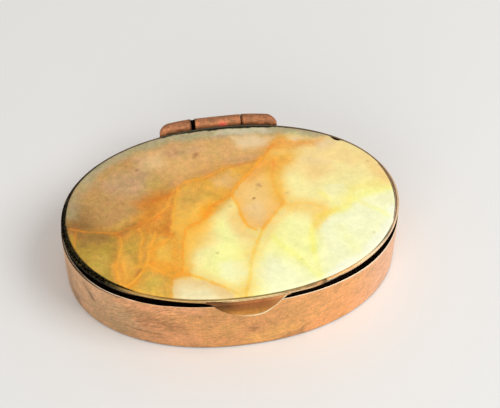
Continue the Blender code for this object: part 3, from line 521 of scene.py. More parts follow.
# Marks on the stone: place, reach and strength, in millimetres
STONE_SPECKS = (
    (5.0, 3.7, 0.40, 0.45), (5.3, 3.4, 0.25, 0.45), (4.7, 2.9, 0.30, 0.3), (3.9, 1.0, 0.22, 1.0),
    (3.55, 0.8, 0.2, 0.25), (-4.1, 11.5, 0.48, 0.62), (-4.6, 11.0, 0.34, 0.45), (-14.0, 9.6, 0.26, 0.6),
    (-13.8, 11.7, 0.4, 0.2), (-16.9, 2.9, 0.3, 0.3), (-3.3, -8.8, 0.24, 0.4), (-2.2, 13.5, 0.35, 0.3),
    (21.5, -8.1, 0.22, 0.35), (23.5, 6.3, 0.24, 0.35), (-0.1, 0.0, 0.3, 0.3), (9.3, 1.4, 0.2, 0.25),
    (-11.2, 0.6, 0.3, 0.2), (9.4, -11.8, 0.3, 0.12), (-8.6, 12.4, 0.60, 0.22), (-7.2, 12.8, 0.50, 0.28),
    (-6.2, 12.5, 0.40, 0.2), (-9.8, 12.2, 0.40, 0.16), (-3.2, 13.3, 0.25, 0.2), (-24.2, -2.8, 0.22, 0.35),
    (-19.2, 4.6, 0.25, 0.22), (-21.6, 2.4, 0.22, 0.2), (-15.4, 6.4, 0.2, 0.2), (2.4, 9.6, 0.3, 0.2),
)
# The chip in the stone's edge: place, half length and half width in millimetres, its way, and its depth
STONE_CHIP = (19.25, 12.2, 0.80, 0.34, math.radians(-37))
STONE_CHIP_DEPTH = 0.45 * MM

# The studio: the floor and the background, the strength of the even light, and the lamps. A lamp has a name,
# azimuth and elevation in degrees, distance and size in metres, power in watts, and a colour.
FLOOR_HALF = 3.0
FLOOR_TONE = (0.82, 0.81, 0.79, 1.0)
BACKGROUND_TONE = (0.86, 0.85, 0.83, 1.0)
WORLD_STRENGTH = 0.53
LAMPS = (
    ("key", 62, 52, 0.55, 0.3, 1.5, (1.0, 1.0, 1.0)),
    ("front_fill", -22, 24, 0.6, 0.4, 1.05, (1.0, 0.98, 0.95)),
)


def oval(turns, half, inset=0.0):
    """Give the points of an oval at shares of a full turn, moved inwards by an inset."""
    angle = 2 * math.pi * np.asarray(turns, float)
    power = 2 / OVAL_POWER
    x = (half.x - inset) * np.sign(np.cos(angle)) * np.abs(np.cos(angle)) ** power
    y = (half.y - inset) * np.sign(np.sin(angle)) * np.abs(np.sin(angle)) ** power
    return x, y


def oval_y(x, half):
    """Give the distance of the oval's long side from its middle at one x."""
    share = np.clip(np.abs(x) / half.x, 0.0, 1.0)
    return half.y * (1 - share ** OVAL_POWER) ** (1 / OVAL_POWER)


def wobble(points, size, seed):
    """Give smooth noise from -1 to 1 at points in metres, with features of about one size."""
    shift = Vector((seed * 17.3, seed * 5.1, seed * 11.7))
    flat = np.asarray(points, float).reshape(-1, 3) / size
    values = [noise.noise(Vector(point) + shift) for point in flat]
    return np.array(values).reshape(np.asarray(points).shape[:-1])


def wobble_pair(points, size, seed):
    """Give smooth noise in two directions at once, for bending outlines."""
    return np.stack([wobble(points, size, seed), wobble(points, size, seed + 1)], axis=-1)


def bell(distance, reach):
    """Give 1 at no distance, falling smoothly to 0 past the reach."""
    return np.exp(-(distance / reach) ** 2)


def soft_step(values):
    """Rise smoothly from 0 at -1 to 1 at 1."""
    share = np.clip(values / 2 + 0.5, 0, 1)
    return share * share * (3 - 2 * share)


def blend(first, second, share):
    """Move from one colour, or a row of them, towards another by a share."""
    return first + (np.asarray(second) - first) * share


def side_table(points, front, back):
    """Read a number or colour for each point from tables by x in millimetres, for the front and back half."""
    x = points[..., 0] / MM
    is_front = points[..., 1] < 0
    halves = []
    for table in (front, back):
        places = [place for place, _ in table]
        values = np.array([value for _, value in table], float)
        if values.ndim == 1:
            halves.append(np.interp(x, places, values))
        else:
            halves.append(np.stack([np.interp(x, places, channel) for channel in values.T], axis=-1))
    return np.where(is_front if halves[0].ndim == is_front.ndim else is_front[..., None], *halves)


def steps(points, axis, closed):
    """Give each point's way along one axis of a grid in millimetres, with the closing step if it closes."""
    last = np.take(points, [0], axis=axis)
    line = np.concatenate([points, last], axis=axis) if closed else points
    length = np.linalg.norm(np.diff(line, axis=axis), axis=-1)
    start = np.zeros_like(np.take(length, [0], axis=axis))
    return np.concatenate([start, np.cumsum(length, axis=axis)], axis=axis) / MM


def add_object(name, data):
    """Put a new object into the scene."""
    thing = bpy.data.objects.new(name, data)
    bpy.context.scene.collection.objects.link(thing)
    return thing


def add_mark(mesh, mark, values):
    """Store one number or one colour for each point of a mesh."""
    values = np.asarray(values, np.float32)
    if values.ndim and values.shape[-1] == 4:
        mesh.attributes.new(mark, "FLOAT_COLOR", "POINT").data.foreach_set("color", values.ravel())
    else:
        mesh.attributes.new(mark, "FLOAT", "POINT").data.foreach_set("value", values.ravel())


def tidy_normals(mesh):
    """Point all faces outwards and shade them smooth, with sharp corners kept."""
    bm = bmesh.new()
    bm.from_mesh(mesh)
    bmesh.ops.recalc_face_normals(bm, faces=bm.faces)
    bm.to_mesh(mesh)
    bm.free()
    mesh.shade_smooth()
    mesh.set_sharp_from_angle(angle=SMOOTH_ANGLE)


def grid_mesh(name, grid, marks, wrap_rows=False, capped=False, grain_across=False):
    """Make a piece from rows of points that close on themselves, with each corner's way along the grain."""
    rows, columns = grid.shape[:2]
    along = steps(grid, 1, True)
    across = steps(grid, 0, wrap_rows)
    along = np.concatenate([along, along[:1]])
    faces = []
    traces = []
    for row in range(rows if wrap_rows else rows - 1):
        for column in range(columns):
            after = (column + 1) % columns
            below = (row + 1) % rows
            corners = ((row, column), (row, after), (below, after), (below, column))
            faces.append([line * columns + place for line, place in corners])
            for line, place in ((row, column), (row, column + 1), (row + 1, column + 1), (row + 1, column)):
                trace = (along[line, place], across[line, place % columns])
                traces += (*(reversed(trace) if grain_across else trace), 0.0)
    if capped:
        faces.append(list(reversed(range(columns))))
        faces.append([(rows - 1) * columns + column for column in range(columns)])
        traces += [0.0] * 3 * 2 * columns
    mesh = bpy.data.meshes.new(name)
    mesh.from_pydata(grid.reshape(-1, 3).tolist(), [], faces)
    mesh.attributes.new("trace", "FLOAT_VECTOR", "CORNER").data.foreach_set("vector", traces)
    for mark, values in marks.items():
        add_mark(mesh, mark, values)
    tidy_normals(mesh)
    return add_object(name, mesh)


def finish_piece(thing, material, body, slot, *nodes):
    """Give a piece its material and its body, and hide the nodes that it stands for. The slot is not used."""
    thing.data.materials.append(material)
    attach(thing, body)
    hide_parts(*nodes)


class Finish:
    """A material under construction: each method adds nodes and gives an output."""

    def __init__(self, name):
        self.material = bpy.data.materials.new(name)
        self.material.use_nodes = True
        self.tree = self.material.node_tree
        self.shader = self.tree.nodes["Principled BSDF"]
        place = self.add("TexCoord", "Object", {})
        self.place = self.add("VectorMath", "Vector", {0: place, "Scale": 1 / MM}, operation="SCALE")

    def link(self, value, socket):
        """Connect an output, or set a plain value, on a socket."""
        if isinstance(value, bpy.types.NodeSocket):
            self.tree.links.new(value, socket)
        elif hasattr(socket.default_value, "__len__") and not hasattr(value, "__len__"):
            socket.default_value = [value] * len(socket.default_value)
        elif hasattr(value, "__len__") and len(value) == 3 and len(socket.default_value) == 4:
            socket.default_value = (*value, 1.0)
        else:
            socket.default_value = value

    def add(self, kind, output, inputs, **settings):
        """Add one node with its settings and inputs, and give one of its outputs."""
        node = self.tree.nodes.new("ShaderNode" + kind)
        for name, value in settings.items():
            setattr(node, name, value)
        for socket, value in inputs.items():
            self.link(value, node.inputs[socket])
        return node.outputs[output]

    def set(self, socket, value):
        """Connect or set one of the shader's own sockets."""
        self.link(value, self.shader.inputs[socket])

    def mark(self, name, output="Fac"):
        """Read a value stored on the mesh."""
        return self.add("Attribute", output, {}, attribute_name=name)

    def math(self, operation, first, second=0.0, clamp=False):
        """Combine two numbers."""
        return self.add("Math", "Value", {0: first, 1: second}, operation=operation, use_clamp=clamp)

    def product(self, first, second, clamp=False):
        """Multiply two numbers."""
        return self.math("MULTIPLY", first, second, clamp)

    def range(self, value, low, high, to_low=0.0, to_high=1.0):
        """Map a number from one range to another, eased and clamped."""
        inputs = {"Value": value, "From Min": low, "From Max": high, "To Min": to_low, "To Max": to_high}
        return self.add("MapRange", "Result", inputs, interpolation_type="SMOOTHSTEP")

    def stretch(self, place, turn, along, across):
        """Turn a flat place by an angle, then scale it along and across."""
        inputs = {"Vector": place, "Rotation": (0.0, 0.0, turn), "Scale": (1 / along, 1 / across, 1.0)}
        return self.add("Mapping", "Vector", inputs, vector_type="TEXTURE")

    def noise(self, place, scale, detail=3.0, roughness=0.55, distortion=0.0):
        """Add cloudy noise with a number of features per millimetre."""
        inputs = {"Vector": place, "Scale": scale, "Detail": detail, "Roughness": roughness}
        return self.add("TexNoise", "Fac", {**inputs, "Distortion": distortion})

    def cells(self, place, scale):
        """Add cell noise, as the distance to the nearest point."""
        return self.add("TexVoronoi", "Distance", {"Vector": place, "Scale": scale})

    def mix(self, factor, first, second, blend="MIX"):
        """Mix two colours."""
        return self.add("Mix", 2, {"Factor": factor, 6: first, 7: second}, data_type="RGBA", blend_type=blend)

    def times(self, first, second):
        """Multiply two colours, or a colour by a number."""
        return self.mix(1.0, first, second, "MULTIPLY")

    def vary(self, colour, noise, low, high, down, up):
        """Darken a colour by one share where a noise is low, and brighten it by another where it is high."""
        return self.times(colour, self.range(noise, low, high, 1.0 - down, 1.0 + up))

    def bump(self, height, depth, normal=None):
        """Raise the surface by a height from 0 to 1 times a depth in metres."""
        under = {"Normal": normal} if normal else {}
        return self.add("Bump", "Normal", {"Distance": depth, "Height": height, **under})


def metal_finish(name, roughness, metallic, streak, polish_and_highlight=(1.0, 0.87, 0.64), grime_and_shade=(0.012, 0.009, 0.005)):
    """Worn sheet metal over its painted tones: brushed, cloudy, grainy, bright at its edges where rubbed and
    where a highlight is painted, and near black where soot or shade is painted.
    """
    finish = Finish(name)
    trace = finish.mark("trace", "Vector")
    brushed = finish.noise(finish.stretch(trace, 0.10, 0.45, 4.0), 1.0, 4.0, 0.6, 0.2)
    slanted = finish.noise(finish.stretch(trace, 0.55, 0.50, 4.5), 1.0, 4.0, 0.65, 0.3)
    flecks = finish.noise(finish.stretch(trace, 0.40, 1.6, 6.5), 1.0, 3.0, 0.6)
    clouds = finish.noise(finish.place, 0.45, 5.0, 0.62, 0.7)
    grains = finish.noise(finish.place, 2.3, 5.0, 0.70)
    soot = finish.mark("soot")
    scuff = finish.mark("scuff")
    fresh = (1.0 + 0.12 * streak, 1.0 + 0.03 * streak, 1.0 + 0.05 * streak)
    dull = (1.0 - 0.22 * streak, 1.0 - 0.22 * streak, 1.0 - 0.24 * streak)
    tarnish = finish.mix(finish.range(clouds, 0.32, 0.70), fresh, dull)
    colour = finish.times(finish.mark("paint", "Color"), tarnish)
    colour = finish.vary(colour, brushed, 0.30, 0.70, 0.23 * streak, 0.18 * streak)
    colour = finish.mix(scuff, colour, finish.vary(colour, slanted, 0.34, 0.64, 0.26, 0.24))
    colour = finish.vary(colour, grains, 0.34, 0.66, 0.18 * streak, 0.14 * streak)
    colour = finish.vary(colour, flecks, 0.36, 0.64, 0.12 * streak, 0.10 * streak)
    patches = finish.range(clouds, 0.46, 0.62, 0.0, 0.22 * streak)
    specks = finish.product(finish.range(grains, 0.60, 0.72), patches)
    colour = finish.mix(specks, colour, SPECK_TONE)
    # Where soot or painted shade is marked, the colour goes near black, flecked with a second dark tone
    colour = finish.mix(soot, colour, finish.mix(finish.range(grains, 0.50, 0.64), SOOT_AND_SHADE_TONE, grime_and_shade))
    # Rubbed wear and painted highlights both turn the colour towards the polish tone
    rubbed_and_lit = finish.product(finish.mark("wear"), finish.range(grains, 0.30, 0.50, 0.55, 1.0))
    finish.set("Base Color", finish.mix(rubbed_and_lit, colour, polish_and_highlight))
    finish.set("Metallic", finish.math("MAXIMUM", metallic, soot))
    rough = finish.range(brushed, 0.3, 0.7, roughness - 0.04, roughness + 0.08)
    rough = finish.math("ADD", rough, finish.product(finish.math("MAXIMUM", specks, soot), 0.3))
    finish.set("Roughness", finish.math("SUBTRACT", rough, finish.product(rubbed_and_lit, 0.12), clamp=True))
    relief = finish.bump(brushed, 0.010 * MM * streak)
    relief = finish.bump(finish.product(slanted, scuff), 0.012 * MM, relief)
    finish.set("Normal", finish.bump(finish.math("SUBTRACT", grains, specks), 0.010 * MM, relief))
    return finish.material


def plain_finish():
    """Dull tarnished sheet for the small solids that keep their own mesh."""
    finish = Finish("tarnished_leaf")
    clouds = finish.noise(finish.place, 1.2, 5.0, 0.65, 0.4)
    grains = finish.noise(finish.place, 4.0, 4.0, 0.7)
    colour = finish.mix(finish.range(clouds, 0.35, 0.65), (0.30, 0.15, 0.07), (0.50, 0.26, 0.12))
    finish.set("Base Color", finish.vary(colour, grains, 0.3, 0.7, 0.28, 0.12))
    finish.set("Metallic", 0.7)
    finish.set("Roughness", finish.range(clouds, 0.3, 0.7, 0.45, 0.62))
    finish.set("Normal", finish.bump(grains, 0.01 * MM))
    return finish.material


def stone_clouds(finish, clouds, mottle, grain, hue):
    """Cloud the stone's tones with noise, more in its dark parts than in its pale ones."""
    calm = finish.range(finish.mark("tone"), 0.28, 0.66)

    def eased(dark, pale):
        return finish.range(calm, 0.0, 1.0, dark, pale)

    colour = finish.vary(finish.mark("tone", "Color"), clouds, 0.3, 0.7, 0.06, 0.05)
    tint = finish.mix(finish.range(hue, 0.34, 0.66), (0.96, 1.015, 0.94), (1.04, 0.98, 1.06))
    colour = finish.mix(eased(1.0, 0.15), colour, finish.times(colour, tint))
    colour = finish.times(colour, finish.range(mottle, 0.30, 0.70, eased(0.86, 0.955), eased(1.12, 1.03)))
    return finish.times(colour, finish.range(grain, 0.32, 0.68, eased(0.93, 0.975), eased(1.06, 1.015)))


def stone_lines(finish, colour, mottle, grain, hue):
    """Draw the stone's veins, with a soft glow round them, and the thin bright threads inside them."""
    glow = finish.product(finish.mark("glow"), finish.range(mottle, 0.3, 0.7, 0.55, 1.2))
    colour = finish.mix(glow, colour, (1.0, 0.80, 0.48), "MULTIPLY")
    ragged = finish.math("ADD", finish.product(mottle, 1.1), finish.product(grain, 0.9))
    near = finish.math("SUBTRACT", finish.math("ADD", finish.mark("near"), ragged), 1.0)
    power = finish.mark("power")
    line = finish.product(finish.range(near, 0.0, 1.3, 1.0, 0.0), power)
    line = finish.product(line, finish.range(hue, 0.32, 0.60, 0.60, 1.05), clamp=True)
    pale = finish.range(finish.mark("tone"), 0.42, 0.68)
    colour = finish.mix(line, colour, finish.mix(pale, (1.02, 0.60, 0.22), (1.0, 0.80, 0.28)), "MULTIPLY")
    bright = finish.product(line, finish.range(power, 0.45, 1.0, 0.0, 0.6))
    bright = finish.product(bright, finish.range(pale, 0.0, 1.0, 1.0, 0.42))
    colour = finish.mix(bright, colour, (0.96, 0.42, 0.03))
    thread = finish.product(finish.mark("thread"), finish.range(grain, 0.34, 0.56, 0.55, 1.0))
    thread = finish.product(thread, finish.range(hue, 0.36, 0.56, 0.45, 1.0))
    light = finish.range(finish.mark("tone"), 0.22, 0.42)
    golden = finish.mix(light, (0.74, 0.26, 0.025), (1.0, 0.50, 0.045))
    return finish.mix(thread, colour, golden)


def stone_finish():
    """Polished translucent stone: cloudy tones, orange veins with soft halos, dark specks, and near black in
    its chip and along parts of its edge, painted shade at the near left.
    """
    finish = Finish("veined_stone")
    clouds = finish.noise(finish.place, 0.30, 5.0, 0.6, 0.8)
    mottle = finish.noise(finish.place, 1.1, 5.0, 0.62, 0.4)
    grain = finish.noise(finish.place, 4.2, 4.0, 0.65)
    hue = finish.noise(finish.place, 0.55, 4.0, 0.6, 0.6)
    colour = stone_clouds(finish, clouds, mottle, grain, hue)
    colour = stone_lines(finish, colour, mottle, grain, hue)
    colour = finish.mix(finish.mark("speck"), colour, (0.24, 0.065, 0.025))
    soot = finish.mark("soot")
    dirt_and_shade = finish.mix(finish.range(grain, 0.46, 0.62), (0.004, 0.003, 0.001), (0.055, 0.042, 0.014))
    finish.set("Base Color", finish.mix(soot, colour, dirt_and_shade))
    finish.set("Metallic", soot)
    rough = finish.range(grain, 0.3, 0.7, 0.20, 0.30)
    finish.set("Roughness", finish.math("ADD", rough, finish.product(soot, 0.4)))
    finish.set("Specular IOR Level", 0.25)
    finish.set("Coat Weight", 0.07)
    finish.set("Coat Roughness", 0.08)
    finish.set("Normal", finish.bump(mottle, 0.004 * MM))
    return finish.material


def mirror_finish():
    """Silvered glass with a little foxing near its edge."""
    finish = Finish("old_mirror")
    clouds = finish.noise(finish.place, 0.5, 5.0, 0.65, 0.5)
    foxing = finish.product(finish.mark("wear"), finish.range(clouds, 0.48, 0.62))
    specks = finish.range(finish.cells(finish.place, 0.6), 0.0, 0.1, 0.5, 0.0)
    foxing = finish.math("MAXIMUM", foxing, finish.product(specks, finish.range(clouds, 0.55, 0.65)))
    finish.set("Base Color", finish.mix(foxing, (0.84, 0.86, 0.86), (0.12, 0.09, 0.06)))
    finish.set("Metallic", 1.0)
    finish.set("Roughness", finish.range(foxing, 0.0, 1.0, 0.03, 0.5))
    return finish.material


def cement_finish():
    """Dull setting cement with a granular surface."""
    finish = Finish("setting_cement")
    grains = finish.noise(finish.place, 3.0, 5.0, 0.7)
    clouds = finish.noise(finish.place, 0.5, 3.0)
    colour = finish.mix(finish.range(clouds, 0.3, 0.7), (0.24, 0.19, 0.14), (0.40, 0.34, 0.26))
    finish.set("Base Color", finish.vary(colour, grains, 0.3, 0.7, 0.25, 0.15))
    finish.set("Roughness", 0.92)
    finish.set("Normal", finish.bump(grains, 0.03 * MM))
    return finish.material


def strip_rows(rows, half, shift=None):
    """Turn rows of inset and height into a grid of points round the oval."""
    turns = np.arange(AROUND) / AROUND
    rings = [(*oval(turns, half, inset), np.full(AROUND, height)) for inset, height in rows]
    grid = np.array([np.stack(ring, axis=-1) for ring in rings])
    return shift(grid, turns) if shift else grid


def row_insets(rows):
    """Give the inset of each point of a strip's grid, in millimetres."""
    return np.array([inset for inset, _ in rows])[:, None] / MM * np.ones((1, AROUND))


def row_numbers(rows):
    """Give the row number of each point of a strip's grid."""
    return np.arange(len(rows))[:, None] * np.ones((1, AROUND))


def between(first, last, count):
    """Give evenly spaced rows from one inset and height towards another, without the last."""
    shares = np.arange(count) / count
    return [tuple(np.array(first) * (1 - share) + np.array(last) * share) for share in shares]


def arc_rows(centre, radius, start, end, count):
    """Give rows on an arc of the profile, from one angle to another in degrees, both ends taken in."""
    angles = np.radians(np.linspace(start, end, count))
    return [(centre[0] + radius * math.cos(angle), centre[1] + radius * math.sin(angle)) for angle in angles]


def plate_rows(half, low, top, edge, reach, count):
    """Give a plate's rows from the middle of its underside out to its edge, and up its eased edge."""
    rows = [(half.y * PLATE_MIDDLE, low)]
    rows += between((half.y * reach, low), (edge, low), count)
    rows += arc_rows((edge, low + edge), edge, 270, 180, 4)
    return rows + arc_rows((edge, top - edge), edge, 180, 90, 4)


def outward(turns, half):
    """Give the oval's outward directions at shares of a turn."""
    x, y = oval(turns, half)
    tangent = np.stack([np.roll(x, -1) - np.roll(x, 1), np.roll(y, -1) - np.roll(y, 1)], axis=-1)
    tangent /= np.linalg.norm(tangent, axis=-1, keepdims=True)
    return np.stack([tangent[:, 1], -tangent[:, 0], np.zeros(len(turns))], axis=-1)


def mixed_paint(grid, tones, seed, size):
    """Mix three tones by smooth noise for a surface with no fields of its own."""
    flat = grid.reshape(-1, 3)
    broad = soft_step(1.6 * wobble(flat, size * MM, seed))[:, None]
    small = soft_step(1.8 * wobble(flat, 0.4 * size * MM, seed + 1))[:, None]
    first, second, third = (np.array(METAL_TONES[tone]) for tone in tones)
    return blend(blend(first, second, broad), third, 0.6 * small)


def route_distance(points, route):
    """Give each point's distance to a line of straight stretches, in millimetres."""
    nearest = np.full(len(points), np.inf)
    for start, end in zip(route[:-1], route[1:]):
        start = np.array(start, float)
        span = np.array(end, float) - start
        share = np.clip((points - start) @ span / (span @ span), 0, 1)
        nearest = np.minimum(nearest, np.linalg.norm(points - start - share[:, None] * span, axis=1))
    return nearest


def strongest_line(points, lines):
    """Give each point the strength of the line that shows most there."""
    shares = [strength * bell(route_distance(points, route), width) for strength, width, route in lines]
    return np.maximum.reduce(shares)


def outline_share(points, outline, feather):
    """Give 1 inside a closed outline and 0 outside it, softened over a feather."""
    closed = (*outline, outline[0])
    inside = np.zeros(len(points), bool)
    for (x0, y0), (x1, y1) in zip(closed[:-1], closed[1:]):
        if y0 != y1:
            meets = x0 + (points[:, 1] - y0) * (x1 - x0) / (y1 - y0)
            inside ^= ((y0 > points[:, 1]) != (y1 > points[:, 1])) & (points[:, 0] < meets)
    away = route_distance(points, closed)
    return soft_step(np.where(inside, away, -away) / feather)


def lay_fields(points, tones, ground, fields):
    """Lay soft fields of tone over a ground, and give a colour for each point."""
    colour = np.tile(np.array(tones[ground], float), (len(points), 1))
    for tone, strength, feather, outline in fields:
        colour = blend(colour, tones[tone], strength * outline_share(points, outline, feather)[:, None])
    return colour


def with_alpha(colour, shape):
    """Shape colours for a mesh, with full cover."""
    return np.concatenate([colour, np.ones((len(colour), 1))], axis=1).reshape(*shape, 4)


def wall_profile():
    """Give the band's rows up its outer face, over its rim and down inside, and how many lie outside."""
    top = WALL_HIGH.z
    foot = WALL_FOOT_ROUND
    rim = WALL_RIM_ROUND
    fine = top - WALL_FINE_DEPTH
    rows = arc_rows((foot, foot), foot, 270, 180, 6)
    rows += between((0.0, foot * 1.2), (0.0, fine), WALL_ROWS)
    rows += between((0.0, fine), (0.0, top - rim * 1.5), 9)
    rows += arc_rows((rim, top - rim), rim, 180, 90, 5)
    outside = len(rows)
    rows += [(inset * MM, top) for inset in (0.10, 0.12, 0.15, 0.18, 0.21, 0.24, 0.27, 0.30)]
    rows += arc_rows((WALL_SHEET - rim, top - rim), rim, 90, 0, 4)
    rows += between((WALL_SHEET, top - rim * 1.5), (WALL_SHEET, 0.0), 8)
    rows.append((WALL_SHEET, 0.0))
    return rows, outside


def shape_wall(grid, turns):
    """Give the band its uneven rim, its slight swell and its shallow dents."""
    share = np.clip(grid[..., 2] / WALL_HIGH.z, 0.0, 1.0)
    grid[..., 2] += MM * side_table(grid, RIM_FRONT, RIM_BACK) * share ** 3
    swell = WALL_SWELL * np.sin(math.pi * share)
    dents = 0.05 * MM * wobble(grid, 9 * MM, 1) + 0.02 * MM * wobble(grid, 2.5 * MM, 2)
    dents = dents * np.sin(math.pi * np.clip(share, 0.02, 0.98)) ** 0.5
    return grid + (swell + dents)[..., None] * outward(turns, WALL_HALF)


def rim_marks(grid, rows, outside):
    """Work out the rim's painted highlight, brighter towards the right, the dark seam outside it at the left,
    and the painted shade inside the band, lighter further down.
    """
    x = grid[..., 0] / MM
    index = row_numbers(rows)
    inset = row_insets(rows)
    below = (grid[..., 2].max(axis=0) - grid[..., 2]) / MM
    line = side_table(grid, RIM_LINE, RIM_LINE)
    left = soft_step((-16.8 - x) / 0.9) * (grid[..., 1] < 3 * MM)
    inside_shade = soft_step((inset - RIM_BLACK_FROM - left * (line + 0.03)) / 0.015)
    inside_shade = np.where((index < outside) & (inset < 0.02), 0.0, inside_shade)
    deep = (index > outside + 12) * soft_step((below - 2.5) / 3)
    inside_shade = inside_shade * (1 - deep * np.clip(0.32 + 0.10 * wobble(grid, 4 * MM, 19), 0, 0.5))
    left = left * (index < outside + 8)
    outwards = below - inset + line
    band_end = side_table(grid, RIM_BAND, RIM_BAND_BACK) + 0.05 * wobble(grid, 0.9 * MM, 18) + line
    seam = 0.88 * left * soft_step((outwards - 0.11) / 0.03) * soft_step((band_end - outwards) / 0.06)
    # Painted highlight along the rim's edge, wider and brighter towards the right
    bright = RIM_BRIGHT * (1 + 0.7 * soft_step((x - 5) / 4) + 1.5 * soft_step((x - 17) / 5))
    edge = (bell(below, bright) * (1 - left) + left * bell(outwards, 0.075)) * (1 - inside_shade)
    shine = np.clip(edge * (0.62 + 0.38 * np.tanh((x - 6) / 8) + 0.55 * left), 0, 1)
    return shine, np.maximum(inside_shade, seam)


def side_wall(metal):
    """The band: a thin sheet with a rounded foot, an uneven rim that rises behind the lip, and dents."""
    rows, outside = wall_profile()
    grid = strip_rows(rows, WALL_HALF, shape_wall)
    shape = grid.shape[:2]
    flat = grid.reshape(-1, 3)
    plan = flat[:, (0, 2)] / MM
    bend = wobble_pair(flat, 3 * MM, 3)
    bent = plan + 1.1 * bend + 0.5 * wobble_pair(flat, 0.8 * MM, 5)
    front = soft_step((-flat[:, 1] / MM - 3) / 3)
    plain = mixed_paint(grid, ("brown", "orange", "dust"), 61, 8)
    colour = blend(plain, lay_fields(bent, METAL_TONES, "ochre", WALL_FIELDS), front[:, None])
    scratch = strongest_line(plan + 0.15 * bend, WALL_SCRATCHES) * front
    shine, rim_shade_and_seam = rim_marks(grid, rows, outside)
    # Painted contact shadow along the foot, where the band meets the floor
    foot_shade = bell(grid[..., 2], 0.35 * MM) * (0.35 + 0.4 * wobble(grid, 3 * MM, 7))
    marks = {
        "paint": with_alpha(colour, shape),
        "wear": shine,
        "soot": np.clip(np.maximum.reduce([rim_shade_and_seam, foot_shade, scratch.reshape(shape)]), 0, 1),
        "scuff": (outline_share(plan + bend, WALL_SCUFFS, 1.5) * front).reshape(shape),
    }
    thing = grid_mesh("wall_band", grid, marks, wrap_rows=True)
    finish_piece(thing, metal, "box", "copper_gilt", "side_wall")


def base_plate(metal):
    """The floor: a sheet with eased edges that rises a little towards its middle."""
    half = BASE_HIGH.xy
    sheet = BASE_HIGH.z
    edge = 0.08 * MM
    rows = plate_rows(half, 0.0, sheet, edge, PLATE_REACH, 16)
    rows += between((edge * 1.5, sheet), (half.y * PLATE_REACH, sheet), 16)
    rows.append((half.y * PLATE_MIDDLE, sheet))

    def shift(grid, turns):
        raised = 0.03 * MM * (1 + wobble(grid, 7 * MM, 5))
        middle = np.clip(1 - (grid[..., 0] / half.x) ** 2 - (grid[..., 1] / half.y) ** 2, 0, 1)
        grid[..., 2] += raised * middle
        return grid

    grid = strip_rows(rows, half, shift)
    upper = (grid[..., 2] > sheet / 2).astype(float)
    # Painted shade on the floor's top: dark all over and darkest round its edge
    ring = soft_step((9.5 - row_insets(rows) + 1.5 * wobble(grid, 5 * MM, 20)) / 5)
    marks = {
        "paint": with_alpha(mixed_paint(grid, ("brown", "dust", "ochre"), 65, 9), upper.shape),
        "soot": (0.40 + 0.42 * ring) * upper,
    }
    thing = grid_mesh("floor_plate", grid, marks, capped=True)
    finish_piece(thing, metal, "box", "copper_gilt", "base_plate")


def bezel_profile():
    """Give the hoop's rows up, over its top and down to its ledge, and where its top and its inside start."""
    low = BEZEL_LOW.z
    top = BEZEL_HIGH.z
    edge = BEZEL_ROUND
    ledge = BEZEL_SHEET + LEDGE_WIDTH
    rows = arc_rows((edge, low + edge), edge, 270, 180, 4)
    rows += between((0.0, low + edge * 1.6), (0.0, top - edge * 1.6), 6)
    top_start = len(rows) + 1
    rows += arc_rows((edge, top - edge), edge, 180, 90, 5)
    rows += [(inset * MM, top) for inset in (0.10, 0.13, 0.16, 0.19, 0.22, 0.25, 0.28, 0.31)]
    rows.append((BEZEL_LIP, top + 0.01 * MM))
    inner = len(rows)
    rows += between((BEZEL_SHEET, top - 2 * edge), (BEZEL_SHEET, low + LEDGE_SHEET), 3)
    rows += [(BEZEL_SHEET, low + LEDGE_SHEET), (ledge, low + LEDGE_SHEET), (ledge, low)]
    return rows, top_start, inner


def bezel_grid(rows, top_start, inner):
    """Turn the hoop's rows into points, with a wavy lower edge and a right end that flares and laps over."""
    low = BEZEL_LOW.z
    top = BEZEL_HIGH.z

    def shift(grid, turns):
        lower = np.clip((low + 0.4 * MM - grid[..., 2]) / (0.4 * MM), 0, 1)
        lower[inner:] = 0
        ripple = 0.02 * np.sin(2 * math.pi * 11 * turns) + 0.015 * np.sin(2 * math.pi * 23 * turns + 1)
        grid[..., 2] += MM * (side_table(grid, BEZEL_LIFT_FRONT, ALL_NOUGHT) + ripple) * lower
        dents = 0.02 * MM * wobble(grid, 3 * MM, 8)
        dents[inner:] = 0
        end = soft_step((grid[..., 0] / MM - 24.8) / 1.2)
        flare = BEZEL_FLARE * soft_step((grid[..., 0] / MM - 22) / 3) * bell(grid[..., 1] / MM - 1.0, 4.2)
        across = np.clip(row_insets(rows) * MM / BEZEL_LIP, 0, 1)
        across[:top_start - 1] = 0
        level = np.clip((top - grid[..., 2]) / (top - low), 0, 1)
        move = flare * (0.5 + 0.5 * level) * (1 - across) - BEZEL_LAP * end * across
        rise = BEZEL_LAP_RISE * end * across ** 0.7
        move[inner] = -0.08 * MM * end[inner]
        rise[inner] = 1.1 * BEZEL_LAP_RISE * end[inner]
        move[inner + 1:] = 0
        rise[inner + 1:] = 0
        grid[..., 2] += rise
        return grid + (dents + move)[..., None] * outward(turns, LID_HALF)

    return strip_rows(rows, LID_HALF, shift)


def bezel_colour(grid, index, inset, top_start):
    """Give the hoop's colours, with their painted light and shade: its face, its top, and the darker part of
    its top beside the stone.
    """
    flat = grid.reshape(-1, 3)
    on_top = soft_step((index - top_start + 1) / 1.5).reshape(-1, 1)
    face = side_table(flat, BEZEL_FACE_FRONT, BEZEL_FACE_BACK)
    colour = blend(face, side_table(flat, BEZEL_TOP_FRONT, BEZEL_TOP_BACK), on_top)
    strip = side_table(grid, BEZEL_STRIP, ALL_ONE).reshape(-1, 1)
    beside_stone = on_top * soft_step((inset - 0.11) / 0.05).reshape(-1, 1)
    colour *= blend(1, strip, beside_stone) ** np.array(BEZEL_STRIP_FILTER)
    return with_alpha(colour, index.shape)


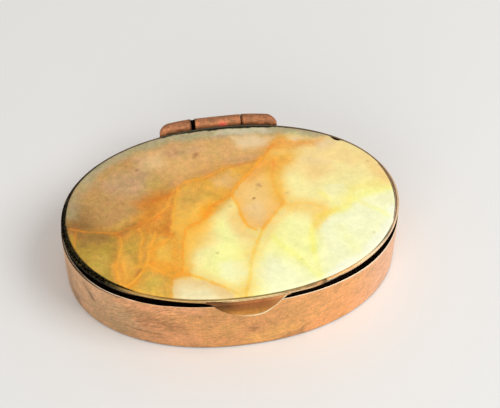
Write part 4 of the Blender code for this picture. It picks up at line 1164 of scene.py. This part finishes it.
def lid_bezel(metal):
    """The hoop: a thin strip burnished over the stone's edge, with a wavy lower edge and a joint in front."""
    rows, top_start, inner = bezel_profile()
    grid = bezel_grid(rows, top_start, inner)
    index = row_numbers(rows)
    inset = row_insets(rows)
    x = grid[..., 0] / MM
    front = grid[..., 1] < 0
    above = (grid[..., 2] - grid[..., 2].min(axis=0)) / MM
    on_face = index < top_start
    joint = 0.85 * bell(x - BEZEL_JOINT, 0.16) * front
    peel = soft_step((x - 12.8) / 0.2) * soft_step((15.6 - x) / 0.4)
    blots = peel * bell(above - 0.22, 0.10) * (0.6 + 0.8 * wobble(grid, 0.9 * MM, 9)) * on_face * front
    worn = np.maximum(0.7 * np.clip(np.tanh((x + 18) / 6), 0, 1), peel)
    # Bright along the face's lower edge at the front, more so to the right: rubbing and a painted highlight
    rubbed_and_lit = bell(above, 0.07) * on_face * worn * front
    broken = np.clip(0.75 + 0.9 * wobble(grid, 0.7 * MM, 10) + soft_step((x - 21) / 2), 0, 1)
    broken = broken * (index >= top_start - 3)
    groove = side_table(grid, BEZEL_GROOVE, BEZEL_GROOVE_BACK) * bell(inset - 0.34, 0.075) * broken
    depth = rows[top_start][1] / MM - np.array([height for _, height in rows])[:, None] / MM
    corner = inset - np.clip(depth, 0, None)
    crease = side_table(grid, BEZEL_CREASE, BEZEL_CREASE_BACK) * broken
    crease = crease * bell(corner - 0.02 - 0.17 * soft_step((x - 20) / 2), 0.065)
    patchy = 1 + 0.25 * wobble(grid, 1.1 * MM, 17)
    grime_and_shade = np.clip(side_table(grid, BEZEL_SHADE_FRONT, BEZEL_SHADE_BACK) * patchy, 0, 1)
    # The hoop's inside and its ledge are near black, as painted shade
    dirt_and_shade = [joint, blots, groove, crease, grime_and_shade, 0.95 * (index >= inner)]
    marks = {
        "paint": bezel_colour(grid, index, inset, top_start),
        "wear": rubbed_and_lit,
        "soot": np.clip(np.maximum.reduce(dirt_and_shade), 0, 1),
    }
    thing = grid_mesh("lid_hoop", grid, marks, wrap_rows=True)
    finish_piece(thing, metal, "lid", "bezel_gilt", "lid_bezel")


def chip_share(points):
    """Give 1 in the middle of the chip, falling to 0 round it."""
    x, y, length, width, turn = STONE_CHIP
    aside = points[..., 0] / MM - x
    ahead = points[..., 1] / MM - y
    along = aside * math.cos(turn) + ahead * math.sin(turn)
    across = ahead * math.cos(turn) - aside * math.sin(turn)
    return bell(np.hypot(along / length, across / width), 1.0)


def stone_veins(plan, bend):
    """Give the distance to the nearest vein in vein widths, its strength, and the glow of all veins."""
    near = np.full(len(plan), VEIN_REACH)
    power = np.zeros(len(plan))
    clear = np.ones(len(plan))
    for strength, half_width, route in STONE_VEINS:
        away = route_distance(plan, route) / (VEIN_WIDTH * half_width * (1 + 0.35 * bend))
        clear *= 1 - VEIN_GLOW * strength * bell(away, VEIN_HALO)
        closer = away / (0.4 + strength) < near / (0.4 + power)
        near = np.where(closer, away, near)
        power = np.where(closer, strength, power)
    return np.clip(near, 0, VEIN_REACH), power, 1 - clear


def stone_marks(grid, inset):
    """Work out the stone's tones, veins and specks at each point, and the dark of its chip and along its
    edge, painted shade at the near left.
    """
    flat = grid.reshape(-1, 3)
    plan = flat[:, :2] / MM
    bend = wobble_pair(flat, 3.2 * MM, 11)
    crinkle = wobble_pair(flat, 0.9 * MM, 13)
    ragged = wobble_pair(flat, 0.42 * MM, 15)
    strayed = plan + 0.60 * bend + 0.30 * crinkle + 0.18 * ragged
    colour = lay_fields(strayed, STONE_TONES, STONE_GROUND, STONE_FIELDS)
    for strength, half_width, route in STONE_STREAKS:
        share = strength * bell(route_distance(plan + 0.4 * bend + 0.1 * crinkle, route), half_width)
        colour *= 1 - share[:, None] * np.array(STREAK_FILTER)
    bent = plan + 0.18 * bend + 0.10 * crinkle
    near, power, glow = stone_veins(bent, bend[:, 0])
    specks = [strength * bell(np.hypot(*(bent - (x, y)).T), reach) for x, y, reach, strength in STONE_SPECKS]
    back = soft_step((plan[:, 1] - 15) / 1.5)
    uneven = 0.06 * bend[:, 1] + (0.20 * bend[:, 0] + 0.14 * crinkle[:, 0] + 0.08 * ragged[:, 0]) * back
    dark_width = side_table(flat, STONE_EDGE_SHADE_FRONT, STONE_EDGE_DARK_BACK)
    soot = soft_step((dark_width - np.repeat(inset, grid.shape[1]) / MM + uneven) / 0.07)
    soot = np.maximum(soot, np.clip(2 * chip_share(flat) - 0.4 + 0.3 * crinkle[:, 0], 0, 1))
    marks = {
        "near": near,
        "power": power,
        "glow": glow,
        "thread": strongest_line(bent, STONE_THREADS),
        "speck": np.maximum.reduce(specks),
        "soot": soot,
    }
    shape = grid.shape[:2]
    shaped = {name: values.reshape(shape) for name, values in marks.items()}
    return {"tone": with_alpha(colour, shape), **shaped}


def stone_panel(stone):
    """The slab: an upright edge, a polished bevel and a low dome, with a chip at the back right."""
    low = STONE_LOW.z
    edge = low + STONE_EDGE
    shoulder = edge + STONE_BEVEL_RISE
    rise = STONE_HIGH.z - shoulder
    reach = STONE_HALF.y - STONE_BEVEL_WIDTH
    ease = 0.06 * MM
    rows = [(10 * ease, low), (0.0, low)]
    rows += between((0.0, low + 0.05 * MM), (0.0, edge), 3)
    rows += arc_rows((ease, edge), ease, 180, 120, 3)
    rows += between((1.5 * ease, edge + 0.07 * MM), (STONE_BEVEL_WIDTH, shoulder), 6)
    for share in np.arange(STONE_RINGS) / STONE_RINGS:
        rows.append((STONE_BEVEL_WIDTH + reach * share, shoulder + rise * (1 - (1 - share) ** 2)))
    turns = np.arange(2 * AROUND) / (2 * AROUND)
    grid = []
    for inset, height in rows:
        x, y = oval(turns, STONE_HALF, min(inset, STONE_BEVEL_WIDTH))
        shrink = 1 - max(inset - STONE_BEVEL_WIDTH, 0) / reach
        grid.append(np.stack([x * shrink, y * shrink, np.full(len(turns), height)], axis=-1))
    grid = np.array(grid)
    grid[..., 2] = np.maximum(grid[..., 2] - STONE_CHIP_DEPTH * chip_share(grid), low)
    insets = np.array([inset for inset, _ in rows])
    insets[0] = 0.0
    thing = grid_mesh("stone_slab", grid, stone_marks(grid, insets), capped=True)
    finish_piece(thing, stone, "lid", "veined_stone", "stone_panel")


def lid_plate(metal):
    """The sheet that closes the lid from below."""
    half = PLATE_HIGH.xy
    top = PLATE_HIGH.z
    rows = plate_rows(half, PLATE_LOW.z, top, 0.06 * MM, PLATE_REACH, 10)
    rows.append((half.y * PLATE_REACH, top))
    grid = strip_rows(rows, half)
    marks = {
        "paint": with_alpha(mixed_paint(grid, ("brown", "dust", "umber"), 71, 5), grid.shape[:2]),
        # Painted shade round the plate's edge
        "soot": soft_step((0.7 - row_insets(rows)) / 0.4),
    }
    thing = grid_mesh("lid_lining", grid, marks, capped=True)
    finish_piece(thing, metal, "lid", "copper_gilt", "lid_plate")


def mirror_frame(metal):
    """The frame round the mirror, with a rolled lip below the glass."""
    low = FRAME_LOW.z
    top = FRAME_HIGH.z
    sheet = 0.3 * MM
    lip_sheet = 0.25 * MM
    roll = 0.1 * MM
    lip_end = sheet + 1.0 * MM - roll
    rows = arc_rows((roll, low + roll), roll, 270, 180, 5)
    rows += between((0.0, low + 2 * roll), (0.0, top), 4)
    rows += [(0.0, top), (sheet, top), (sheet, low + lip_sheet)]
    rows += arc_rows((lip_end, low + lip_sheet - roll), roll, 90, 0, 4)
    rows += arc_rows((lip_end, low + roll), roll, 0, -90, 4)
    grid = strip_rows(rows, FRAME_HIGH.xy)
    above = grid[..., 2] - low
    marks = {
        "paint": with_alpha(mixed_paint(grid, ("ochre", "gold", "brown"), 75, 4), above.shape),
        "wear": bell(above, 0.1 * MM) * 0.5,
        # Painted shade on the frame's outer side, above its lower edge
        "soot": (row_insets(rows) * MM < 0.6 * sheet) * soft_step((above - 0.3 * MM) / (0.2 * MM)),
    }
    thing = grid_mesh("mirror_surround", grid, marks, wrap_rows=True)
    finish_piece(thing, metal, "lid", "bezel_gilt", "mirror_frame")


def mirror_glass(mirror):
    """The mirror, with eased edges."""
    half = GLASS_HIGH.xy
    top = GLASS_HIGH.z
    rows = plate_rows(half, GLASS_LOW.z, top, 0.08 * MM, 0.9, 12)
    rows.append((half.y * PLATE_REACH, top))
    grid = strip_rows(rows, half)
    away = np.clip(1 - (grid[..., 0] / half.x) ** 2 - (grid[..., 1] / half.y) ** 2, 0, 1)
    thing = grid_mesh("mirror_pane", grid, {"wear": bell(away, 0.22)}, capped=True)
    finish_piece(thing, mirror, "lid", "mirror", "mirror_glass")


def lip_share(across):
    """Turn places from -1 to 1 across the lip, its tapered ends taken in, into shares of the arch's reach."""
    reach = np.where(across < 0, LIP_LEFT[0], LIP_RIGHT[0])
    return (1 + LIP_TAIL / reach) * across


def lip_surface(across, down):
    """Give the lip's inner face: across runs from -1 to 1, down from 0 to 1."""
    share = lip_share(across)
    x = LIP_MIDDLE + np.where(across < 0, LIP_LEFT[0], LIP_RIGHT[0]) * share
    start = BEZEL_LOW.z + LIP_TAB
    top = BEZEL_HIGH.z - SEAT_GAP / 2
    inside = np.clip(np.abs(share), 0, 1)
    beyond = np.clip(np.abs(share) - 1, 0, None)
    sides = (LIP_LEFT, LIP_RIGHT)
    arch = [(1 - inside ** fullness) ** shoulder - fullness * beyond for _, fullness, shoulder in sides]
    depth = LIP_EASE * np.log1p(np.exp(LIP_DEPTH / LIP_EASE * np.where(across < 0, *arch)))
    z = top - (top - start + depth) * down
    standoff = WALL_HALF.y - LID_HALF.y + 0.05 * MM
    towards_rim = np.clip((start - z) / (start - WALL_HIGH.z), 0, 1)
    below_rim = np.clip(WALL_HIGH.z - z, 0, None) / (WALL_HIGH.z - start + LIP_DEPTH)
    outwards = SEAT_GAP * 0.6 + standoff * towards_rim + LIP_FLARE * below_rim ** LIP_FLARE_CURVE
    return np.stack([x, -oval_y(x, LID_HALF) - outwards, z], axis=-1)


def lip_colour(points, share):
    """Give the lip's colours with painted light and shade: brown above and dark at its left as painted shade,
    golden below and paler at its right as painted light, with a painted highlight as a bright line on top.
    """
    left, upper, right, lower = np.array(LIP_LIGHT_AND_SHADE_TONES)
    below = (points[:, 2].max() - points[:, 2]) / MM
    shade = soft_step((below - 1.45 - 0.2 * wobble(points, 2 * MM, 82)) / 0.8)[:, None]
    shine = soft_step((LIP_SHINE * (1 + 0.15 * wobble(points, 1.5 * MM, 83)) - below) / 0.04)[:, None]
    colour = blend(upper, left, soft_step(-(share + 0.42) / 0.3))
    colour = blend(colour, right, soft_step((share - 0.62) / 0.25))
    colour = blend(colour, lower, shade)
    colour = blend(colour, LIP_SHINE_TONE, shine * soft_step((share + 0.62) / 0.2))
    return with_alpha(colour, (len(points),))


def thicken_lip(thing, below):
    """Give the lip its sheet, thinner near its top, and eased edges."""
    taper = thing.vertex_groups.new(name="taper")
    for point, drop in enumerate(below):
        taper.add([point], float(np.clip(0.25 + 1.5 * drop, 0.0, 1.0)), "REPLACE")
    shell = thing.modifiers.new("sheet", "SOLIDIFY")
    shell.thickness = LIP_SHEET
    shell.offset = 1.0
    shell.vertex_group = "taper"
    ease = thing.modifiers.new("eased", "BEVEL")
    ease.width = 0.07 * MM
    ease.segments = 2
    ease.limit_method = "ANGLE"
    ease.angle_limit = math.radians(50)


def thumb_lip(metal):
    """The lip: a flared sheet with an arched lower edge, bright along it from rubbing and a painted
    highlight, with painted shade on the edge at its left.
    """
    bm = bmesh.new()
    bmesh.ops.create_grid(bm, x_segments=LIP_COLUMNS, y_segments=LIP_ROWS, size=1.0)
    flat = np.array([vert.co[:] for vert in bm.verts])
    across = flat[:, 0]
    down = (1 - flat[:, 1]) / 2
    points = lip_surface(np.clip(across, -1, 1), down)
    for vert, point in zip(bm.verts, points):
        vert.co = point
    mesh = bpy.data.meshes.new("thumb_piece")
    bm.to_mesh(mesh)
    bm.free()
    share = lip_share(across)
    depth = points[:, 2].max() - lip_surface(across, np.ones(len(points)))[:, 2]
    shallow = np.where(across < 0, 0.55, 0.36)
    edge_line = bell((1 - down) * depth, 0.13 * MM) * soft_step((depth / MM - shallow) / 0.25)
    add_mark(mesh, "paint", lip_colour(points, share[:, None]))
    # A painted highlight along the lower edge, stronger to the right, and painted shade on its left end
    add_mark(mesh, "wear", np.clip(edge_line * (0.62 + 0.75 * np.tanh(2.4 * share + 0.2)), 0, 1))
    add_mark(mesh, "soot", 0.7 * edge_line * soft_step(-(share + 0.55) / 0.2))
    mesh.shade_smooth()
    thing = add_object("thumb_piece", mesh)
    thicken_lip(thing, (points[:, 2].max() - points[:, 2]) / MM)
    finish_piece(thing, metal, "lid", "copper_gilt", "thumb_lip")


def knuckle_grid(rows, bend):
    """Turn rows of x and radius into rings round the hinge's axis, moved towards the box by a bend."""
    angles = 2 * math.pi * np.arange(KNUCKLE_SIDES) / KNUCKLE_SIDES
    grid = []
    for x, radius in rows:
        y = HINGE.y - bend(x) + radius * np.cos(angles)
        z = HINGE.z + radius * np.sin(angles)
        grid.append(np.stack([np.full(KNUCKLE_SIDES, x), y, z], axis=-1))
    return np.array(grid)


def knuckle_colour(grid, facing, red, seed):
    """Give a knuckle's colours: patchy, with painted light on the side towards the box to even out its
    shading, and with the red fleck.
    """
    colour = mixed_paint(grid, ("brick", "clay", "brick"), seed, 1.6).reshape(grid.shape)
    colour = colour * (1 - 0.14 * soft_step(3 * wobble(grid, 0.6 * MM, seed + 2)))[..., None]
    # Painted light: brighter on the side towards the box
    colour = np.clip(colour * (0.86 + 0.60 * soft_step((-facing - 0.35) / 0.7))[..., None], 0, 0.95)
    return with_alpha(blend(colour, RED_FLECK_TONE, red[..., None]).reshape(-1, 3), facing.shape)


def knuckle(name, rows, bend, metal, body, node, seed, blind):
    """Make a knuckle from its rows, with slight unevenness, crust on the side towards the box, and painted
    shade in its bore and at its ends.
    """
    grid = knuckle_grid(rows, bend)
    x = grid[..., 0]
    radial = grid - np.stack([x, HINGE.y - bend(x), np.full(x.shape, HINGE.z)], axis=-1)
    radius = np.linalg.norm(radial, axis=-1)
    outer = (radius > KNUCKLE_RADIUS * 0.62) | (blind & (np.abs(x - rows[-1][0]) < KNUCKLE_ROUNDING))
    dents = (0.03 * MM * wobble(grid, 2.2 * MM, seed) + 0.012 * MM * wobble(grid, 0.8 * MM, seed + 1)) * outer
    grid = grid + radial / radius[..., None] * dents[..., None]
    ends = [rows[1][0]] if blind else [min(rows)[0], max(rows)[0]]
    near_end = np.minimum.reduce([np.abs(x - end) for end in ends])
    facing = radial[..., 1] / KNUCKLE_RADIUS
    red = bell(np.linalg.norm((grid - RED_FLECK) * RED_FLECK_SQUEEZE, axis=-1), RED_FLECK_REACH)
    crust = np.clip(0.5 + 1.2 * wobble(grid, 0.5 * MM, seed + 3), 0, 1)
    # Crust on the side towards the box, and painted shade at the ends
    grime_and_shade = np.maximum(bell(facing + 1.1, 0.25) * 0.5 * crust, bell(near_end, 0.07 * MM) * 0.6)
    marks = {
        "paint": knuckle_colour(grid, facing, red, seed),
        # Inside the bore: near black, as painted shade
        "soot": np.clip(np.where(outer, grime_and_shade * (1 - red), 0.97), 0, 1),
    }
    thing = grid_mesh(name, grid, marks, wrap_rows=not blind, capped=blind, grain_across=True)
    finish_piece(thing, metal, body, "copper_gilt", node)


def outer_knuckle(side, metal, seed):
    """A knuckle of the body: it follows the band's curve and ends round."""
    node = "hinge_knuckle_" + side
    low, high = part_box(node)
    sign, inner, end = (-1.0, high.x, low.x) if side == "left" else (1.0, low.x, high.x)
    outer = end - sign * 0.15 * MM
    edge = 0.09 * MM
    plain = abs(outer - inner) - KNUCKLE_ROUNDING - edge
    plain_rows = 14
    round_rows = 12
    closing = 1 - KNUCKLE_TIP ** 2
    rows = [(inner + sign * KNUCKLE_SEAT, BORE_RADIUS), (inner + sign * edge, BORE_RADIUS)]
    rows.append((inner, BORE_RADIUS + edge))
    rows += arc_rows((inner + sign * edge, KNUCKLE_RADIUS - edge), edge, 90 + 90 * sign, 90, 4)
    for step in range(1, plain_rows + 1):
        rows.append((inner + sign * (edge + plain * step / plain_rows), KNUCKLE_RADIUS))
    for step in range(1, round_rows + 1):
        rise = math.sin(math.pi / 2 * step / round_rows)
        radius = KNUCKLE_RADIUS * math.sqrt(1 - closing * rise ** 2)
        rows.append((outer - sign * KNUCKLE_ROUNDING * (1 - rise), radius))
    rows.append((outer + sign * 0.02 * MM, KNUCKLE_RADIUS * KNUCKLE_TIP * 0.6))
    start = oval_y(inner, WALL_HALF)

    def bend(x):
        past = np.clip(1 - sign * (outer - x) / KNUCKLE_ROUNDING, 0, 1)
        lean = 0.8 * KNUCKLE_RADIUS * (1 - np.sqrt(1 - closing * past ** 2))
        return np.where(sign * (x - inner) > 0.05 * MM, start - oval_y(x, WALL_HALF) + lean, 0.0)

    knuckle("knuckle_" + side, rows, bend, metal, "box", node, seed, True)


def centre_knuckle(metal):
    """The knuckle of the lid, bored through for the pin."""
    low = CENTRE_LOW.x
    high = CENTRE_HIGH.x
    edge = 0.08 * MM
    rows = [(low + edge, BORE_RADIUS), (low, BORE_RADIUS + edge)]
    rows += arc_rows((low + edge, KNUCKLE_RADIUS - edge), edge, 180, 90, 4)
    rows += between((low + 2 * edge, KNUCKLE_RADIUS), (high - 2 * edge, KNUCKLE_RADIUS), 20)
    rows += arc_rows((high - edge, KNUCKLE_RADIUS - edge), edge, 90, 0, 4)
    rows += [(high, BORE_RADIUS + edge), (high - edge, BORE_RADIUS)]
    rows += between((high - 3 * edge, BORE_RADIUS), (low + 3 * edge, BORE_RADIUS), 6)
    knuckle("knuckle_centre", rows, lambda x: 0.0 * x, metal, "lid", "hinge_knuckle_centre", 41, False)


def hinge_bearer(metal):
    """The strip on the back of the band: a bar that follows the oval, with a soldered lower side."""
    low = BEARER_LOW.z
    high = BEARER_HIGH.z
    near = SEAT_GAP * 0.5
    far = 2.0 * MM
    slope = 0.4 * MM
    edge = 0.07 * MM
    step = 0.01 * MM
    taper = 1.3 * MM
    profile = [(near, low - 0.1 * MM), (near + slope * 0.5, low + 0.02 * MM), (near + slope, low + 0.03 * MM)]
    profile += [(far - edge, high - 0.5 * MM), (far, high - 0.4 * MM), (far, high - edge)]
    profile += [(far - edge, high), (near, high)]
    grid = []
    for x in np.linspace(BEARER_LOW.x, BEARER_HIGH.x, BEARER_COLUMNS):
        y = oval_y(x, WALL_HALF)
        normal = Vector(((y - oval_y(x + step, WALL_HALF)) / step, 1.0)).normalized()
        end = min(x - BEARER_LOW.x, BEARER_HIGH.x - x) / taper
        reach = 0.30 + 0.70 * float(soft_step(2 * end - 1))
        grid.append([(x + normal.x * out * reach, y + normal.y * out * reach, z) for out, z in profile])
    grid = np.array(grid)
    grid[..., 0] = np.clip(grid[..., 0], BEARER_LOW.x, BEARER_HIGH.x)
    soot = 0.15 + 0.3 * wobble(grid, 1.6 * MM, 51) + 0.4 * bell(grid[..., 2] - low, 0.3 * MM)
    marks = {
        "paint": with_alpha(mixed_paint(grid, ("brick", "brown", "umber"), 52, 3), grid.shape[:2]),
        "soot": np.clip(soot, 0, 0.9),
    }
    thing = grid_mesh("hinge_ledge", grid, marks, capped=True)
    finish_piece(thing, metal, "box", "copper_gilt", "hinge_bearer")


def hinge_pin(metal):
    """The wire through the knuckles, near black as painted shade, with a dark collar filling the wider gap as
    painted shade.
    """
    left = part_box("hinge_knuckle_left")[1].x + COLLAR_MARGIN
    right = CENTRE_LOW.x - COLLAR_MARGIN
    ease = 0.05 * MM
    rows = [(PIN_LOW.x, PIN_RADIUS - ease), (PIN_LOW.x + ease, PIN_RADIUS)]
    rows += between((PIN_LOW.x + 2 * ease, PIN_RADIUS), (left - ease, PIN_RADIUS), 4)
    rows += [(left, PIN_RADIUS), (left, COLLAR_RADIUS - ease), (left + ease, COLLAR_RADIUS)]
    for share in (0.3, 0.5, 0.7):
        rows.append((blend(left, right, share), COLLAR_RADIUS - 0.06 * MM * math.sin(math.pi * share)))
    rows += [(right - ease, COLLAR_RADIUS), (right, COLLAR_RADIUS - ease), (right, PIN_RADIUS)]
    rows += between((right + ease, PIN_RADIUS), (PIN_HIGH.x - 2 * ease, PIN_RADIUS), 12)
    rows += [(PIN_HIGH.x - ease, PIN_RADIUS), (PIN_HIGH.x, PIN_RADIUS - ease)]
    grid = knuckle_grid(rows, lambda x: 0.0)
    radial = grid[..., 1:] - np.array(HINGE[1:])
    radius = np.linalg.norm(radial, axis=-1)
    dirt_and_shade = soft_step((radius - PIN_RADIUS - 0.1 * MM) / (0.1 * MM))
    grid[..., 1:] += radial * (0.05 * wobble(grid, 0.4 * MM, 91) * dirt_and_shade)[..., None]
    marks = {
        "paint": with_alpha(mixed_paint(grid, ("umber", "brick", "umber"), 92, 2), radius.shape),
        # Painted shade: the pin and its collar are near black
        "soot": np.clip(0.8 + 0.2 * dirt_and_shade, 0, 1),
    }
    thing = grid_mesh("hinge_wire", grid, marks, capped=True)
    finish_piece(thing, metal, "box", "copper_gilt", "hinge_pin")


def dress_nodes(metal, cement):
    """Give the small solids that keep their own shape their finish."""
    for name, material in (("lid_hinge_leaf", metal), ("cement_bed", cement)):
        node = frame["nodes"][name]
        node.data.materials.clear()
        node.data.materials.append(material)


def make_floor():
    """A wide pale floor, with no pattern."""
    mesh = bpy.data.meshes.new("floor")
    bm = bmesh.new()
    bmesh.ops.create_grid(bm, x_segments=1, y_segments=1, size=FLOOR_HALF)
    bm.to_mesh(mesh)
    bm.free()
    material = bpy.data.materials.new("pale_floor")
    material.use_nodes = True
    shader = material.node_tree.nodes["Principled BSDF"]
    shader.inputs["Base Color"].default_value = FLOOR_TONE
    shader.inputs["Roughness"].default_value = 0.95
    shader.inputs["Specular IOR Level"].default_value = 0.1
    mesh.materials.append(material)
    floor = add_object("floor", mesh)


def make_world():
    """Even light from all round, with a pale background for the rays that show it."""
    world = bpy.data.worlds.new("studio")
    world.use_nodes = True
    tree = world.node_tree
    light = tree.nodes["Background"]
    light.inputs["Color"].default_value = (1.0, 1.0, 1.0, 1.0)
    light.inputs["Strength"].default_value = WORLD_STRENGTH
    shown = tree.nodes.new("ShaderNodeBackground")
    shown.inputs["Color"].default_value = BACKGROUND_TONE
    shown.inputs["Strength"].default_value = 1.0
    path = tree.nodes.new("ShaderNodeLightPath")
    showing = path.outputs["Is Camera Ray"]
    for ray in ("Is Glossy Ray", "Is Transmission Ray"):
        either = tree.nodes.new("ShaderNodeMath")
        either.operation = "MAXIMUM"
        tree.links.new(showing, either.inputs[0])
        tree.links.new(path.outputs[ray], either.inputs[1])
        showing = either.outputs["Value"]
    mixer = tree.nodes.new("ShaderNodeMixShader")
    for output, place in ((showing, 0), (light.outputs["Background"], 1), (shown.outputs["Background"], 2)):
        tree.links.new(output, mixer.inputs[place])
    tree.links.new(mixer.outputs["Shader"], tree.nodes["World Output"].inputs["Surface"])
    bpy.context.scene.world = world


def look_from(azimuth, elevation):
    """Give the direction from the box towards a place round it."""
    flat = math.cos(elevation)
    return Vector((math.sin(azimuth) * flat, -math.cos(azimuth) * flat, math.sin(elevation)))


def make_lamp(name, azimuth, elevation, distance, size, power, colour):
    """Put a soft square lamp round the box, aimed at it."""
    data = bpy.data.lights.new(name, "AREA")
    data.size = size
    data.energy = power
    data.color = colour
    lamp = add_object(name, data)
    away = look_from(math.radians(azimuth), math.radians(elevation))
    lamp.location = away * distance
    lamp.rotation_mode = "QUATERNION"
    lamp.rotation_quaternion = away.to_track_quat("Z", "Y")


def make_camera():
    """Put the camera where the photograph was taken from."""
    back = look_from(CAMERA_AZIMUTH, CAMERA_ELEVATION)
    right = Vector((math.cos(CAMERA_AZIMUTH), math.sin(CAMERA_AZIMUTH), 0.0))
    up = back.cross(right)
    level = right * math.cos(CAMERA_ROLL) + up * math.sin(CAMERA_ROLL)
    upright = up * math.cos(CAMERA_ROLL) - right * math.sin(CAMERA_ROLL)
    data = bpy.data.cameras.new("camera")
    data.lens = CAMERA_LENS
    data.sensor_width = CAMERA_SENSOR
    data.clip_start = 0.01
    camera = add_object("camera", data)
    camera.location = back * CAMERA_DISTANCE + level * CAMERA_RIGHT + upright * CAMERA_UP
    camera.rotation_mode = "QUATERNION"
    camera.rotation_quaternion = Matrix((level, upright, back)).transposed().to_quaternion()
    bpy.context.scene.camera = camera


def build():
    """Dress the box, then set up the studio."""
    copper = metal_finish("worn_copper", roughness=0.42, metallic=0.7, streak=0.7)
    knuckle_metal = metal_finish("knuckle_copper", roughness=0.62, metallic=0.2, streak=1.3)
    gilt = metal_finish("bezel_gilt", 0.34, 0.85, 0.5, polish_and_highlight=(1.0, 0.86, 0.66), grime_and_shade=(0.085, 0.062, 0.018))
    lip_metal = metal_finish("lip_copper", 0.36, 0.8, 0.55, polish_and_highlight=(1.0, 0.85, 0.52))
    side_wall(copper)
    base_plate(copper)
    hinge_bearer(knuckle_metal)
    outer_knuckle("left", knuckle_metal, 31)
    outer_knuckle("right", knuckle_metal, 35)
    hinge_pin(knuckle_metal)
    lid_bezel(gilt)
    stone_panel(stone_finish())
    lid_plate(copper)
    mirror_frame(gilt)
    mirror_glass(mirror_finish())
    thumb_lip(lip_metal)
    centre_knuckle(knuckle_metal)
    dress_nodes(plain_finish(), cement_finish())
    make_floor()
    make_world()
    for lamp in LAMPS:
        make_lamp(*lamp)
    make_camera()
    bpy.context.scene.view_settings.view_transform = "Standard"


build()
